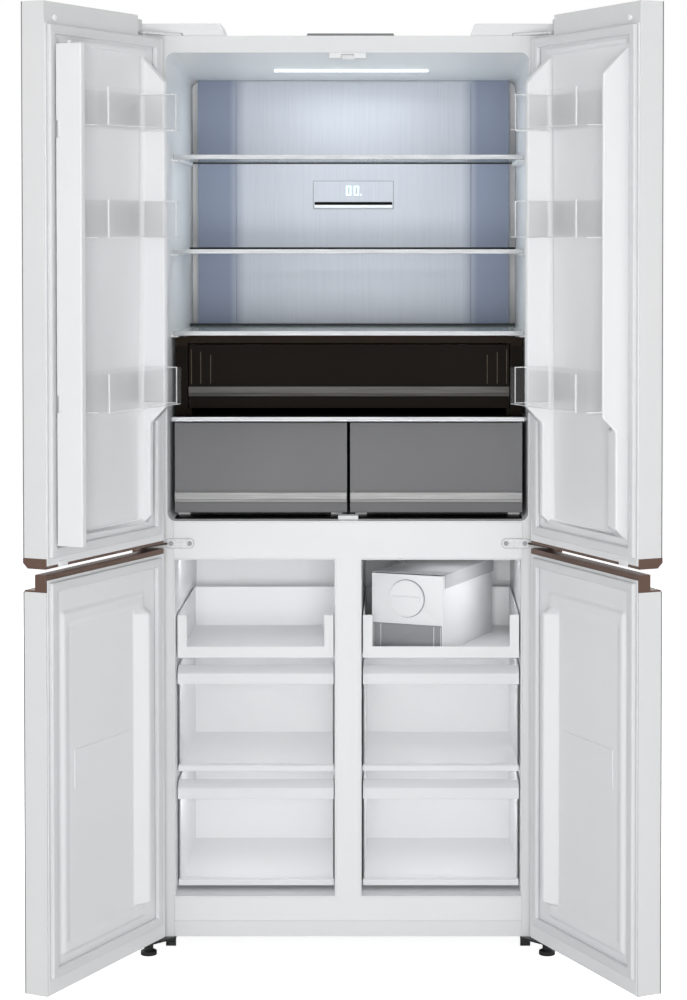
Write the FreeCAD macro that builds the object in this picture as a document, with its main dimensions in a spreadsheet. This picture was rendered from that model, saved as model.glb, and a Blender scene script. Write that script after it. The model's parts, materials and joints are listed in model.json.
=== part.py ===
import FreeCAD, Part
import os
import re
import Sketcher
from FreeCAD import Placement, Rotation, Vector

# A four-door refrigerator: fridge above, two freezers below, all four doors standing open.
# Millimetres, +Z up, +Y towards the back, floor at Z = 0.
# Cabinet pieces are drawn with Y = 0 on the cabinet's front plane and moved to the shared origin at the end.
# Door pieces are drawn closed, with their hinge axis at X = Y = 0, and swung open by their placement.

# Driving sizes
SIZES = {
    # Cabinet
    "cabinet_width": 833.0,
    "cabinet_depth": 650.0,
    "cabinet_bottom": 29.0,
    "cabinet_top": 1810.0,
    "steel_sheet": 1.0,
    "liner_wall": 2.5,
    "liner_corner": 16.0,
    "fridge_side_wall": 60.5,
    "fridge_back_wall": 60.0,
    "top_wall": 33.0,
    "ceiling_fall": 22.0,
    "freezer_side_wall": 74.5,
    "freezer_floor": 110.0,
    "freezer_ceiling": 778.0,
    "freezer_back_wall": 150.0,
    "centre_mullion": 53.0,
    "crossbar_height": 77.0,
    "beam_depth": 40.0,
    "kick_top": 60.0,
    "kick_plate": 2.5,
    "base_plate": 3.0,
    "machine_depth": 180.0,
    "machine_height": 230.0,
    "step_wall": 50.0,
    # Fridge interior
    "duct_back_gap": 45.0,
    "duct_plate": 4.0,
    "panel_width": 174.0,
    "panel_height": 59.0,
    "panel_rise": 93.0,
    "panel_proud": 6.0,
    "light_length": 322.0,
    "light_width": 12.0,
    "light_back": 339.0,
    "light_thick": 3.0,
    "glass_thick": 4.0,
    "shelf_front": 80.0,
    "shelf_back_gap": 105.0,
    "shelf_trim_height": 9.0,
    "shelf_trim_depth": 12.0,
    "shelf_end_gap": 6.0,
    "crisper_shelf_front": 20.0,
    "shelf_rib_width": 14.0,
    "shelf_rib_height": 6.0,
    "top_shelf_drop": 204.0,
    "middle_shelf_share": 0.4646,
    "lower_shelf_rise": 365.0,
    "crisper_shelf_rise": 197.5,
    # Drawers of the fridge
    "drawer_wall": 3.0,
    "drawer_front_wall": 8.0,
    "glide_gap": 0.3,
    "crisper_front": 60.0,
    "crisper_back_gap": 20.0,
    "crisper_rise": 10.0,
    "crisper_height": 180.0,
    "crisper_side_gap": 9.0,
    "crisper_middle_gap": 6.0,
    "crisper_handle_rise": 21.0,
    "handle_height": 20.0,
    "handle_depth": 7.0,
    "handle_lip": 5.0,
    "floor_rib_width": 24.0,
    "rib_set_back": 45.0,
    "fresh_side_gap": 33.0,
    "fresh_front": 105.0,
    "fresh_back_gap": 15.0,
    "fresh_rise": 14.0,
    "fresh_height": 128.0,
    "fresh_handle_rise": 24.0,
    "cheek_gap": 1.5,
    "cheek_wall": 4.0,
    "cheek_front_width": 25.0,
    "cheek_ledge": 8.0,
    # Freezer drawers
    "freezer_side_gap": 2.5,
    "freezer_drawer_front": 46.0,
    "freezer_back_gap": 8.0,
    "freezer_lip_front": 26.0,
    "tray_drop": 199.0,
    "tray_height": 86.0,
    "tray_lip": 23.0,
    "tray_post": 19.0,
    "bottom_rise": 10.0,
    "drawer_gap": 17.5,
    "lip_drop": 14.0,
    "lip_height": 21.0,
    "lip_wall": 3.0,
    "toe_proud": 6.0,
    "freezer_drawer_wall": 2.5,
    "rib_height": 6.0,
    "rib_width": 16.0,
    # Doors
    "door_swing": 115.0,
    "hinge_inset": 20.0,
    "axis_from_back": 33.4,
    "door_thickness": 51.5,
    "centre_gap": 4.0,
    "gasket_gap": 10.0,
    "gasket_height": 9.5,
    "gasket_width": 18.0,
    "gasket_hinge_inset": 24.0,
    "gasket_free_inset": 4.5,
    "gasket_top_drop": 11.0,
    "gasket_low_drop": 19.0,
    "door_edge_radius": 2.5,
    "door_liner": 2.0,
    "door_over_top": 30.0,
    "door_foot_gap": 9.8,
    "split_rise": 33.0,
    "split_gap": 10.0,
    "trim_height": 19.0,
    "trim_scoop": 10.0,
    "liner_drop": 13.0,
    "notch_length": 90.0,
    "notch_depth": 37.0,
    "notch_wall": 4.0,
    "dyke_hinge_inset": 68.0,
    "dyke_width": 20.0,
    "dyke_depth": 53.0,
    "dyke_taper": 6.0,
    "dyke_free_inset": 36.0,
    "dyke_free_width": 8.5,
    "dyke_low_rise": 182.0,
    "dyke_top_gap": 14.0,
    "foot_low_rise": 6.0,
    "foot_high_rise": 235.0,
    "hinge_foot_depth": 20.0,
    "free_foot_depth": 26.0,
    "free_foot_width": 31.0,
    "liner_land": 15.0,
    "liner_land_depth": 6.0,
    "liner_land_taper": 3.0,
    "plateau_depth": 22.0,
    "plateau_taper": 10.0,
    "bin_reach": 98.0,
    "bin_back_gap": 4.0,
    "bin_height": 70.0,
    "bin_wall": 2.5,
    "bin_corner": 18.0,
    "bin_end_gap": 0.3,
    "top_bin_drop": 160.0,
    "middle_bin_share": 0.6089,
    "lower_bin_rise": 243.0,
    "grip_height": 32.0,
    "grip_depth": 24.0,
    "grip_floor": 3.0,
    "grip_end": 42.0,
    "lower_liner_drop": 10.0,
    "dish_inset": 84.0,
    "dish_free_inset": 42.0,
    "dish_edge": 24.0,
    "dish_depth": 14.0,
    "dish_end_gap": 14.0,
    "name_plate_width": 96.0,
    "name_plate_height": 50.0,
    "name_plate_thick": 1.6,
    "name_plate_rise": 390.0,
    # Flip mullion and its guides
    "flip_width": 54.0,
    "flip_thick": 15.0,
    "flip_pivot_edge": 5.0,
    "flip_pivot_side": 22.0,
    "flip_pivot_depth": 9.0,
    "flip_corner": 3.0,
    "flip_floor_gap": 4.0,
    "flip_pin_radius": 3.5,
    "flip_pin_height": 6.0,
    "flip_pin_offset": 20.0,
    "knuckle_height": 30.0,
    "knuckle_low_rise": 245.0,
    "knuckle_high_drop": 182.0,
    "knuckle_pin_radius": 2.0,
    "knuckle_pin_length": 9.0,
    "pin_play": 0.08,
    "bore_spare": 5.0,
    "guide_half_width": 36.0,
    "guide_front": 2.0,
    "guide_back": 34.0,
    "guide_height": 11.0,
    "guide_slot": 26.0,
    "guide_top_gap": 3.0,
    "floor_guide_half_width": 20.0,
    "floor_guide_front": 24.0,
    "floor_guide_back": 50.0,
    "floor_guide_height": 8.0,
    # Hinges, feet and rollers
    "hinge_plate": 4.0,
    "hinge_pin_radius": 5.0,
    "hinge_pin_length": 24.0,
    "hinge_arm_radius": 10.0,
    "hinge_arm_lean": 53.0,
    "plate_from_axis": 35.5,
    "plate_length": 58.0,
    "middle_plate_height": 19.0,
    "middle_plate_thick": 3.0,
    "middle_plate_corner": 9.0,
    "middle_heel_width": 6.5,
    "top_plate_width": 36.0,
    "top_plate_back": 70.0,
    "bottom_plate_back": 60.0,
    "bottom_plate_reach": 55.5,
    "hinge_tab_width": 20.0,
    "hinge_tab_drop": 14.0,
    "collar_radius": 8.0,
    "screw_radius": 2.2,
    "screw_head_radius": 4.6,
    "screw_head_height": 2.2,
    "screw_inset": 9.0,
    "outer_screw_inset": 12.0,
    "foot_inset": 23.5,
    "foot_forward": 22.0,
    "foot_radius": 16.0,
    "foot_height": 11.0,
    "foot_rim_height": 7.7,
    "foot_neck_radius": 9.0,
    "foot_stem_radius": 5.0,
    "roller_radius": 13.5,
    "roller_width": 26.0,
    "roller_inset": 70.0,
    "roller_from_back": 60.0,
    "roller_axle_radius": 3.0,
    "roller_ear": 3.0,
    # Roof covers
    "cover_length": 175.0,
    "cover_depth": 112.0,
    "cover_height": 24.0,
    "cover_wall": 3.0,
    "cover_slope": 9.0,
    "cover_set_back": 3.0,
    "cover_arm_gap": 1.0,
    "board_cover_half_width": 98.0,
    "board_cover_front": 250.0,
    "board_cover_back": 420.0,
    "board_cover_height": 26.0,
    # Cooling circuit
    "compressor_radius": 62.0,
    "compressor_height": 150.0,
    "compressor_side": 230.0,
    "compressor_from_back": 85.0,
    "compressor_rim_radius": 50.0,
    "compressor_crown_radius": 25.0,
    "compressor_crown_drop": 7.5,
    "compressor_shoulder": 37.5,
    "compressor_foot": 8.0,
    "compressor_sole": 12.0,
    "condenser_half_width": 120.0,
    "condenser_side": 90.0,
    "condenser_depth": 100.0,
    "condenser_height": 140.0,
    "condenser_from_back": 40.0,
    "coil_plate": 2.0,
    "coil_tube_radius": 4.0,
    "coil_columns": 3.0,
    "coil_rows": 5.0,
    "coil_fins": 9.0,
    "fan_hub_radius": 18.0,
    "fan_hub_width": 20.0,
    "fan_cap": 4.0,
    "fan_hub_chamfer": 3.0,
    "fan_blades": 5.0,
    "fan_blade_length": 38.0,
    "fan_blade_root": 12.6,
    "fan_blade_sweep": 10.8,
    "fan_blade_top": 17.0,
    "fan_blade_thick": 2.5,
    "fan_shaft_radius": 3.0,
    "fan_motor_length": 22.0,
    "fan_gap": 3.0,
    "evaporator_half_width": 190.0,
    "evaporator_height": 190.0,
    "evaporator_depth": 26.0,
    "evaporator_rise": 40.0,
    "cover_rim": 4.0,
    "louvre_count": 5.0,
    "louvre_rise": 44.0,
    "louvre_height": 6.0,
    "louvre_half_width": 110.0,
    "louvre_pitch": 22.0,
    "gland_radius": 14.0,
    "gland_length": 6.0,
    "gland_bore": 4.5,
    "gland_side": 320.0,
    # Twist ice maker, standing in the right top tray
    "ice_turn": 22.0,
    "ice_shift": 13.0,
    "ice_half_width": 77.0,
    "ice_half_length": 145.0,
    "ice_box_height": 54.0,
    "ice_housing_height": 100.0,
    "ice_wall": 2.5,
    "ice_lid_skirt": 26.0,
    "ice_lid_wall": 2.0,
    "ice_back": 226.0,
    "ice_knob_radius": 37.0,
    "ice_knob_depth": 10.0,
    "ice_knob_rise": 52.0,
    "ice_knob_bar": 9.0,
    "ice_knob_bar_half": 29.6,
    "ice_shaft_radius": 7.0,
    "ice_tray_half_width": 42.0,
    "ice_tray_height": 26.0,
    "ice_tray_wall": 2.0,
    "ice_tray_end_gap": 10.0,
}

FUNCTIONS = {"sin", "cos", "tan", "sqrt", "max", "min"}

doc = FreeCAD.newDocument("four_door_refrigerator")
sheet = doc.addObject("Spreadsheet::Sheet", "Sizes")
for row, (alias, number) in enumerate(SIZES.items(), start=1):
    sheet.set(f"A{row}", alias)
    sheet.set(f"B{row}", str(number))
    sheet.setAlias(f"B{row}", alias)
doc.recompute()

nodes = []


def formula(text):
    """Point each size name in a formula at its cell in the sheet."""
    def cell(word):
        return word.group() if word.group() in FUNCTIONS else "Sizes." + word.group()
    return re.sub(r"[a-z][a-z_]+", cell, text)


def value(text):
    """The number that a formula gives now."""
    return float(sheet.evalExpression(formula(text)))


# Places that many pieces share, as formulas of the driving sizes
HALF = "(cabinet_width / 2)"
INSIDE = f"({HALF} - steel_sheet)"
FRIDGE_HALF = f"({HALF} - fridge_side_wall)"
FREEZER_HALF = f"({HALF} - freezer_side_wall)"
MULLION_HALF = "(centre_mullion / 2)"
FRIDGE_FLOOR = "(freezer_ceiling + crossbar_height)"
FRIDGE_CEILING = "(cabinet_top - top_wall)"
MACHINE_FRONT = "(cabinet_depth - machine_depth)"
MACHINE_TOP = "(cabinet_bottom + machine_height)"
FREEZER_STEP_DEPTH = f"({MACHINE_FRONT} - step_wall)"
FREEZER_STEP = f"({MACHINE_TOP} + step_wall)"
AXIS_SIDE = f"({HALF} - hinge_inset)"
AXIS_FORWARD = "(gasket_gap + axis_from_back)"
SPLIT = "(freezer_ceiling + split_rise)"
UPPER_BOTTOM = f"({SPLIT} + split_gap / 2)"
LOWER_TOP = f"({SPLIT} - split_gap / 2)"
LOWER_BOTTOM = "(cabinet_bottom + door_foot_gap)"
DOOR_TOP = "(cabinet_top + door_over_top)"
DOOR_HINGE_EDGE = "(-hinge_inset)"
DOOR_FREE_EDGE = f"({HALF} - centre_gap / 2 - hinge_inset)"
DOOR_BACK = "axis_from_back"
DOOR_FRONT = "(axis_from_back - door_thickness)"
SLAB_BACK = "(axis_from_back - door_liner)"
FLIP_X = f"({AXIS_SIDE} - flip_pivot_side)"
FLIP_Y = f"({AXIS_FORWARD} + flip_pivot_depth)"
FLIP_TIP = f"({FLIP_Y} + flip_width - flip_pivot_edge)"
FLIP_SIDE = f"({FLIP_X} + flip_thick / 2)"
GUIDE_BOTTOM = f"({FRIDGE_CEILING} - guide_height)"
REACH = f"({AXIS_FORWARD} + {FLIP_SIDE} * sin(door_swing) - {FLIP_TIP} * cos(door_swing))"
FRONT_PLANE = f"(({REACH} - cabinet_depth) / 2)"
FAR = "(2 * (cabinet_width + cabinet_top))"
HINGE_Y = f"(-{AXIS_FORWARD})"
PIN_BORE = "(hinge_pin_radius + pin_play)"
NOTCH_FLOOR = f"({DOOR_TOP} - notch_depth)"
GASKET_X = ("gasket_hinge_inset - hinge_inset", f"{DOOR_FREE_EDGE} - gasket_free_inset")
LOW_MOUTH_HALF = f"({FREEZER_HALF} + liner_wall)"
ROLLER_BACK = "(cabinet_depth - roller_from_back)"
MACHINE_FLOOR = "(cabinet_bottom + base_plate)"
PLATE_OUTER = f"({AXIS_SIDE} - plate_from_axis)"
PLATE_INNER = f"({PLATE_OUTER} - plate_length)"
TOP_PLATE_INNER = f"({PLATE_OUTER} - top_plate_width)"
BOTTOM_PLATE_INNER = f"({AXIS_SIDE} - bottom_plate_reach)"

# Depths and levels of what the fridge and the freezers hold
FRIDGE_DEPTH = "(cabinet_depth - fridge_back_wall)"
FREEZER_DEPTH = "(cabinet_depth - freezer_back_wall)"
DUCT_FRONT = f"({FRIDGE_DEPTH} - duct_back_gap)"
SHELF_BACK = f"({DUCT_FRONT} - shelf_back_gap)"
CRISPER_BACK = f"({SHELF_BACK} - crisper_back_gap)"
FRESH_BACK = f"({SHELF_BACK} - fresh_back_gap)"
FRESH_HALF = f"({FRIDGE_HALF} - fresh_side_gap)"
FREEZER_BACK = f"({FREEZER_STEP_DEPTH} - freezer_back_gap)"
TOP_SHELF = f"({FRIDGE_CEILING} - top_shelf_drop)"
LOWER_SHELF = f"({FRIDGE_FLOOR} + lower_shelf_rise)"
MIDDLE_SHELF = f"({LOWER_SHELF} + middle_shelf_share * ({TOP_SHELF} - {LOWER_SHELF}))"
CRISPER_SHELF = f"({FRIDGE_FLOOR} + crisper_shelf_rise)"
SHELF_SEATS = (TOP_SHELF, MIDDLE_SHELF, LOWER_SHELF, CRISPER_SHELF)
TOP_BIN = f"({FRIDGE_CEILING} - top_bin_drop)"
LOWER_BIN = f"({FRIDGE_FLOOR} + lower_bin_rise)"
MIDDLE_BIN = f"({LOWER_BIN} + middle_bin_share * ({TOP_BIN} - {LOWER_BIN}))"
TRAY_LOW = "(freezer_ceiling - tray_drop)"
BOTTOM_LOW = "(freezer_floor + bottom_rise)"
DRAWER_PITCH = f"(({TRAY_LOW} - {BOTTOM_LOW}) / 2)"
MIDDLE_LOW = f"({BOTTOM_LOW} + {DRAWER_PITCH})"
ICE_SIDE = f"(({MULLION_HALF} + {FREEZER_HALF}) / 2 - ice_shift)"
KNUCKLE_LEVELS = (f"({FRIDGE_FLOOR} + knuckle_low_rise)", f"({FRIDGE_CEILING} - knuckle_high_drop)")


def ceiling_at(depth):
    """Height of the sloping fridge ceiling at a distance behind the front plane."""
    return f"({FRIDGE_CEILING} - ceiling_fall * ({depth}) / {FRIDGE_DEPTH})"


# Helpers for solids
def box(name, x, y, z):
    solid = doc.addObject("Part::Box", name)
    for side, axis, (low, high) in zip(("Length", "Width", "Height"), "xyz", (x, y, z)):
        solid.setExpression(side, formula(f"({high}) - ({low})"))
        solid.setExpression("Placement.Base." + axis, formula(low))
    return solid


TURNS = {
    "x": Rotation(Vector(0, 1, 0), 90),
    "y": Rotation(Vector(1, 0, 0), -90),
    "z": Rotation(),
}


def rod(name, axis, radius, centre, span):
    """A cylinder along one axis, with its centre given on the other two axes in order."""
    solid = doc.addObject("Part::Cylinder", name)
    solid.Placement = Placement(Vector(), TURNS[axis])
    solid.setExpression("Radius", formula(radius))
    solid.setExpression("Height", formula(f"({span[1]}) - ({span[0]})"))
    solid.setExpression("Placement.Base." + axis, formula(span[0]))
    for other, place in zip("xyz".replace(axis, ""), centre):
        solid.setExpression("Placement.Base." + other, formula(place))
    return solid


def frustum(name, x, z, y, taper):
    """A block that stands on the plane y[0] and narrows by taper on every side up to y[1]."""
    solid = doc.addObject("Part::Wedge", name)
    ends = {"Xmin": x[0], "Xmax": x[1], "Zmin": z[0], "Zmax": z[1], "Ymin": y[0], "Ymax": y[1]}
    ends["X2min"] = f"({x[0]}) + {taper}"
    ends["X2max"] = f"({x[1]}) - {taper}"
    ends["Z2min"] = f"({z[0]}) + {taper}"
    ends["Z2max"] = f"({z[1]}) - {taper}"
    for end, place in ends.items():
        solid.setExpression(end, formula(place))
    return solid


def fuse(name, *solids):
    joined = doc.addObject("Part::MultiFuse", name)
    joined.Shapes = list(solids)
    joined.Refine = True
    return joined


def cut(name, base, *tools):
    result = doc.addObject("Part::Cut", name)
    result.Base = base
    result.Tool = tools[0] if len(tools) == 1 else fuse(name + "_tools", *tools)
    return result


PLANES = {"z": "XY_Plane", "y": "XZ_Plane", "x": "YZ_Plane"}


def outline_sketch(body, name, plane, points):
    """A closed outline on one of the body's origin planes, each corner held by two formulas."""
    sketch = body.newObject("Sketcher::SketchObject", name)
    planes = {feature.Role: feature for feature in body.Origin.OriginFeatures}
    sketch.AttachmentSupport = (planes[plane], [""])
    sketch.MapMode = "FlatFace"
    corners = [Vector(value(across), value(up), 0) for across, up in points]
    count = len(corners)
    for index in range(count):
        sketch.addGeometry(Part.LineSegment(corners[index], corners[(index + 1) % count]), False)
    for index in range(count):
        sketch.addConstraint(Sketcher.Constraint("Coincident", index, 2, (index + 1) % count, 1))
    for index, (across, up) in enumerate(points):
        for kind, text in (("DistanceX", across), ("DistanceY", up)):
            constraint = Sketcher.Constraint(kind, -1, 1, index, 1, value(text))
            number = sketch.addConstraint(constraint)
            sketch.setExpression(f"Constraints[{number}]", formula(text))
    return sketch


def profile(name, axis, points, span, corner=None, rounded_edges=None):
    """Pad an outline along an axis between two places, and round the chosen lengthwise edges."""
    body = doc.addObject("PartDesign::Body", name)
    sketch = outline_sketch(body, name + "_outline", PLANES[axis], points)
    start = span[0] if axis != "y" else f"-({span[1]})"
    sketch.setExpression("AttachmentOffset.Base.z", formula(start))
    pad = body.newObject("PartDesign::Pad", name + "_pad")
    pad.Profile = sketch
    pad.setExpression("Length", formula(f"({span[1]}) - ({span[0]})"))
    if corner:
        doc.recompute()
        edges = enumerate(pad.Shape.Edges, start=1)
        names = [f"Edge{number}" for number, edge in edges if rounded_edges(edge)]
        fillet = body.newObject("PartDesign::Fillet", name + "_round")
        fillet.Base = (pad, names)
        fillet.setExpression("Radius", formula(corner))
        body.Tip = fillet
    return body


def along(axis):
    """A test for straight edges that run mostly along an axis."""
    def test(edge):
        step = edge.Vertexes[-1].Point - edge.Vertexes[0].Point
        return abs(getattr(step, axis)) > 0.9 * step.Length
    return test


def turned(name, points):
    """Turn a half outline, given as radius and height, about the Z axis."""
    body = doc.addObject("PartDesign::Body", name)
    sketch = outline_sketch(body, name + "_outline", "XZ_Plane", points)
    revolution = body.newObject("PartDesign::Revolution", name + "_turn")
    revolution.Profile = sketch
    revolution.ReferenceAxis = (sketch, ["V_Axis"])
    revolution.Angle = 360
    return body


def place(solid, x="0", y="0", z="0"):
    for axis, text in zip("xyz", (x, y, z)):
        solid.setExpression("Placement.Base." + axis, formula(text))
    return solid


# Helpers for named pieces
def part(name, *solids):
    """A named piece of the cabinet, moved from the front plane to the shared origin."""
    piece = doc.addObject("Part::Compound", name)
    piece.Links = list(solids)
    piece.Label = name
    piece.setExpression("Placement.Base.y", formula(FRONT_PLANE))
    nodes.append(piece)
    return piece


def door_part(name, *solids):
    """A named piece of a left door, swung open about its hinge axis."""
    piece = doc.addObject("Part::Compound", name)
    piece.Links = list(solids)
    piece.Label = name
    piece.Placement = Placement(Vector(), Rotation(Vector(0, 0, -1), value("door_swing")))
    piece.setExpression("Placement.Rotation.Angle", formula("door_swing"))
    place(piece, f"-{AXIS_SIDE}", f"{FRONT_PLANE} - {AXIS_FORWARD}")
    nodes.append(piece)
    return piece


def mirrored(name, source):
    """The right-hand twin of a left-hand piece."""
    piece = doc.addObject("Part::Mirroring", name)
    piece.Source = source
    piece.Normal = Vector(1, 0, 0)
    piece.Label = name
    nodes.append(piece)
    return piece


def mirror_solid(name, source):
    """The right-hand twin of a solid that is only one of its piece's solids."""
    twin = doc.addObject("Part::Mirroring", name)
    twin.Source = source
    twin.Normal = Vector(1, 0, 0)
    return twin


def hollow(name, x, y, z, wall, front_wall=None):
    """A box with a floor and four walls, open at the top."""
    blank = box(name + "_blank", x, y, z)
    inside = box(
        name + "_inside",
        (f"({x[0]}) + {wall}", f"({x[1]}) - {wall}"),
        (f"({y[0]}) + {front_wall or wall}", f"({y[1]}) - {wall}"),
        (f"({z[0]}) + {wall}", f"({z[1]}) + {wall}"),
    )
    return cut(name + "_shell", blank, inside)


# Envelopes of the liners, from which the liners, the case and the foam are all cut
def fridge_prism(name, grow, front):
    points = [
        (front, f"{FRIDGE_FLOOR} - {grow}"),
        (f"{FRIDGE_DEPTH} + {grow}", f"{FRIDGE_FLOOR} - {grow}"),
        (f"{FRIDGE_DEPTH} + {grow}", f"{ceiling_at(FRIDGE_DEPTH)} + {grow}"),
        (front, f"{ceiling_at(front)} + {grow}"),
    ]
    span = (f"-{FRIDGE_HALF} - {grow}", f"{FRIDGE_HALF} + {grow}")
    return profile(name, "x", points, span, f"liner_corner + {grow}", along("y"))


def freezer_prism(name, grow, front):
    points = [
        (front, f"freezer_floor - {grow}"),
        (f"{FREEZER_STEP_DEPTH} + {grow}", f"freezer_floor - {grow}"),
        (f"{FREEZER_STEP_DEPTH} + {grow}", f"{FREEZER_STEP} - {grow}"),
        (f"{FREEZER_DEPTH} + {grow}", f"{FREEZER_STEP} - {grow}"),
        (f"{FREEZER_DEPTH} + {grow}", f"freezer_ceiling + {grow}"),
        (front, f"freezer_ceiling + {grow}"),
    ]
    return profile(name, "x", points, (f"-{FREEZER_HALF} - {grow}", f"-{MULLION_HALF} + {grow}"))


fridge_outside = fridge_prism("fridge_outside", "liner_wall", "0")
fridge_space = fridge_prism("fridge_space", "0", "-liner_wall")
freezer_outside = freezer_prism("freezer_outside", "liner_wall", "0")
freezer_space = freezer_prism("freezer_space", "0", "-liner_wall")
freezer_outside_right = mirror_solid("freezer_outside_right", freezer_outside)


# Cabinet
def outer_cabinet():
    blank = box("case_blank", (f"-{HALF}", HALF), ("0", "cabinet_depth"), ("cabinet_bottom", "cabinet_top"))
    inside = box(
        "case_inside",
        (f"-{INSIDE}", INSIDE),
        ("steel_sheet", "cabinet_depth + steel_sheet"),
        ("cabinet_bottom - steel_sheet", "cabinet_top - steel_sheet"),
    )
    low_mouth = box(
        "case_low_mouth",
        (f"-{LOW_MOUTH_HALF}", LOW_MOUTH_HALF),
        ("-steel_sheet", "2 * steel_sheet"),
        ("cabinet_bottom - steel_sheet", f"{FRIDGE_FLOOR} - liner_wall"),
    )
    part("outer_cabinet", cut("case", blank, inside, low_mouth, fridge_outside))


def front_beams():
    crossbar = box(
        "crossbar",
        (f"-{LOW_MOUTH_HALF}", LOW_MOUTH_HALF),
        ("0", "beam_depth"),
        ("freezer_ceiling + liner_wall", f"{FRIDGE_FLOOR} - liner_wall"),
    )
    upright = box(
        "centre_upright",
        (f"-{MULLION_HALF} + liner_wall", f"{MULLION_HALF} - liner_wall"),
        ("0", "beam_depth"),
        ("kick_top", "freezer_ceiling + 2 * liner_wall"),
    )
    rail = box(
        "bottom_rail",
        (f"-{LOW_MOUTH_HALF}", LOW_MOUTH_HALF),
        ("0", "beam_depth"),
        ("kick_top", "freezer_floor - liner_wall"),
    )
    return fuse("beams", crossbar, upright, rail)


def base():
    plate = box(
        "base_sheet",
        (f"-{INSIDE}", INSIDE),
        ("kick_plate", "cabinet_depth - steel_sheet"),
        ("cabinet_bottom", "cabinet_bottom + base_plate"),
    )
    upright = box(
        "base_upright",
        (f"-{INSIDE}", INSIDE),
        ("kick_plate", "kick_plate + base_plate"),
        ("cabinet_bottom", "kick_top"),
    )
    pieces = [plate, upright]
    for side in ("-", ""):
        middle = f"({side}({HALF} - roller_inset))"
        for edge in ("-", ""):
            ear_middle = f"({middle} {edge or '+'} (roller_width / 2 + roller_ear / 2 + glide_gap))"
            pieces.append(box(
                "roller_ear",
                (f"{ear_middle} - roller_ear / 2", f"{ear_middle} + roller_ear / 2"),
                (f"{ROLLER_BACK} - roller_radius / 2", f"{ROLLER_BACK} + roller_radius / 2"),
                ("roller_radius / 2", "cabinet_bottom + base_plate"),
            ))
        axle_half = "(roller_width / 2 + roller_ear + glide_gap)"
        pieces.append(rod(
            "roller_axle", "x", "roller_axle_radius", (ROLLER_BACK, "roller_radius"),
            (f"{middle} - {axle_half}", f"{middle} + {axle_half}"),
        ))
    return fuse("base", *pieces), plate, upright


def liners():
    ribs = []
    for seat in SHELF_SEATS:
        rib = box(
            "shelf_rib",
            (f"-{FRIDGE_HALF} - liner_wall / 2", f"-{FRIDGE_HALF} + shelf_rib_width"),
            ("shelf_front + shelf_trim_depth", SHELF_BACK),
            (f"{seat} - shelf_rib_height", seat),
        )
        ribs += [rib, mirror_solid("shelf_rib_right", rib)]
    for inset in ("0", f"{FRIDGE_HALF} - 2 * floor_rib_width"):
        start = f"(-{FRIDGE_HALF} + floor_rib_width / 2 + {inset})"
        rib = box(
            "floor_rib",
            (start, f"{start} + floor_rib_width"),
            ("crisper_front + rib_set_back", CRISPER_BACK),
            (f"{FRIDGE_FLOOR} - liner_wall / 2", f"{FRIDGE_FLOOR} + crisper_rise - glide_gap"),
        )
        ribs += [rib, mirror_solid("floor_rib_right", rib)]
    part("fridge_liner", fuse("fridge_shell", cut("fridge_skin", fridge_outside, fridge_space), *ribs))

    runners = []
    for drawer_low in (TRAY_LOW, MIDDLE_LOW, BOTTOM_LOW):
        seat = f"({drawer_low} - glide_gap)"
        for edge, inward in ((f"-{FREEZER_HALF}", "+"), (f"-{MULLION_HALF}", "-")):
            wall = f"({edge} {'-' if inward == '+' else '+'} liner_wall / 2)"
            inner = f"({edge} {inward} rib_width)"
            low, high = (wall, inner) if inward == "+" else (inner, wall)
            runners.append(box(
                "drawer_runner", (low, high), ("freezer_drawer_front + rib_set_back", FREEZER_BACK),
                (f"{seat} - rib_height", seat),
            ))
        if drawer_low == BOTTOM_LOW:
            for runner in runners[-2:]:
                runner.setExpression("Height", formula("bottom_rise - glide_gap + liner_wall / 2"))
                runner.setExpression("Placement.Base.z", formula("freezer_floor - liner_wall / 2"))
    left = fuse("freezer_shell", cut("freezer_skin", freezer_outside, freezer_space), *runners)
    part("freezer_liners", left, mirror_solid("freezer_shell_right", left))


def cabinet():
    outer_cabinet()
    beams = front_beams()
    part("front_beams", beams)
    base_solid, base_sheet, base_upright = base()
    part("base_frame", base_solid)
    liners()
    part("kick_plate", box(
        "kick", (f"-{LOW_MOUTH_HALF}", LOW_MOUTH_HALF), ("0", "kick_plate"), ("cabinet_bottom", "kick_top"),
    ))
    part("back_panel", box(
        "back_sheet", (f"-{INSIDE}", INSIDE), ("cabinet_depth - steel_sheet", "cabinet_depth"),
        (MACHINE_TOP, "cabinet_top - steel_sheet"),
    ))
    fill = box(
        "foam_blank", (f"-{INSIDE}", INSIDE), ("steel_sheet", "cabinet_depth - steel_sheet"),
        ("cabinet_bottom", "cabinet_top - steel_sheet"),
    )
    machine = box(
        "machine_space", (f"-{FAR}", FAR), (MACHINE_FRONT, FAR), ("0", MACHINE_TOP),
    )
    toe = box("toe_space", (f"-{FAR}", FAR), (f"-{FAR}", "kick_plate + base_plate"), ("0", "kick_top"))
    part("insulation_foam", cut(
        "foam", fill, machine, toe, base_sheet, base_upright, beams,
        fridge_outside, freezer_outside, freezer_outside_right,
    ))


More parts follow.
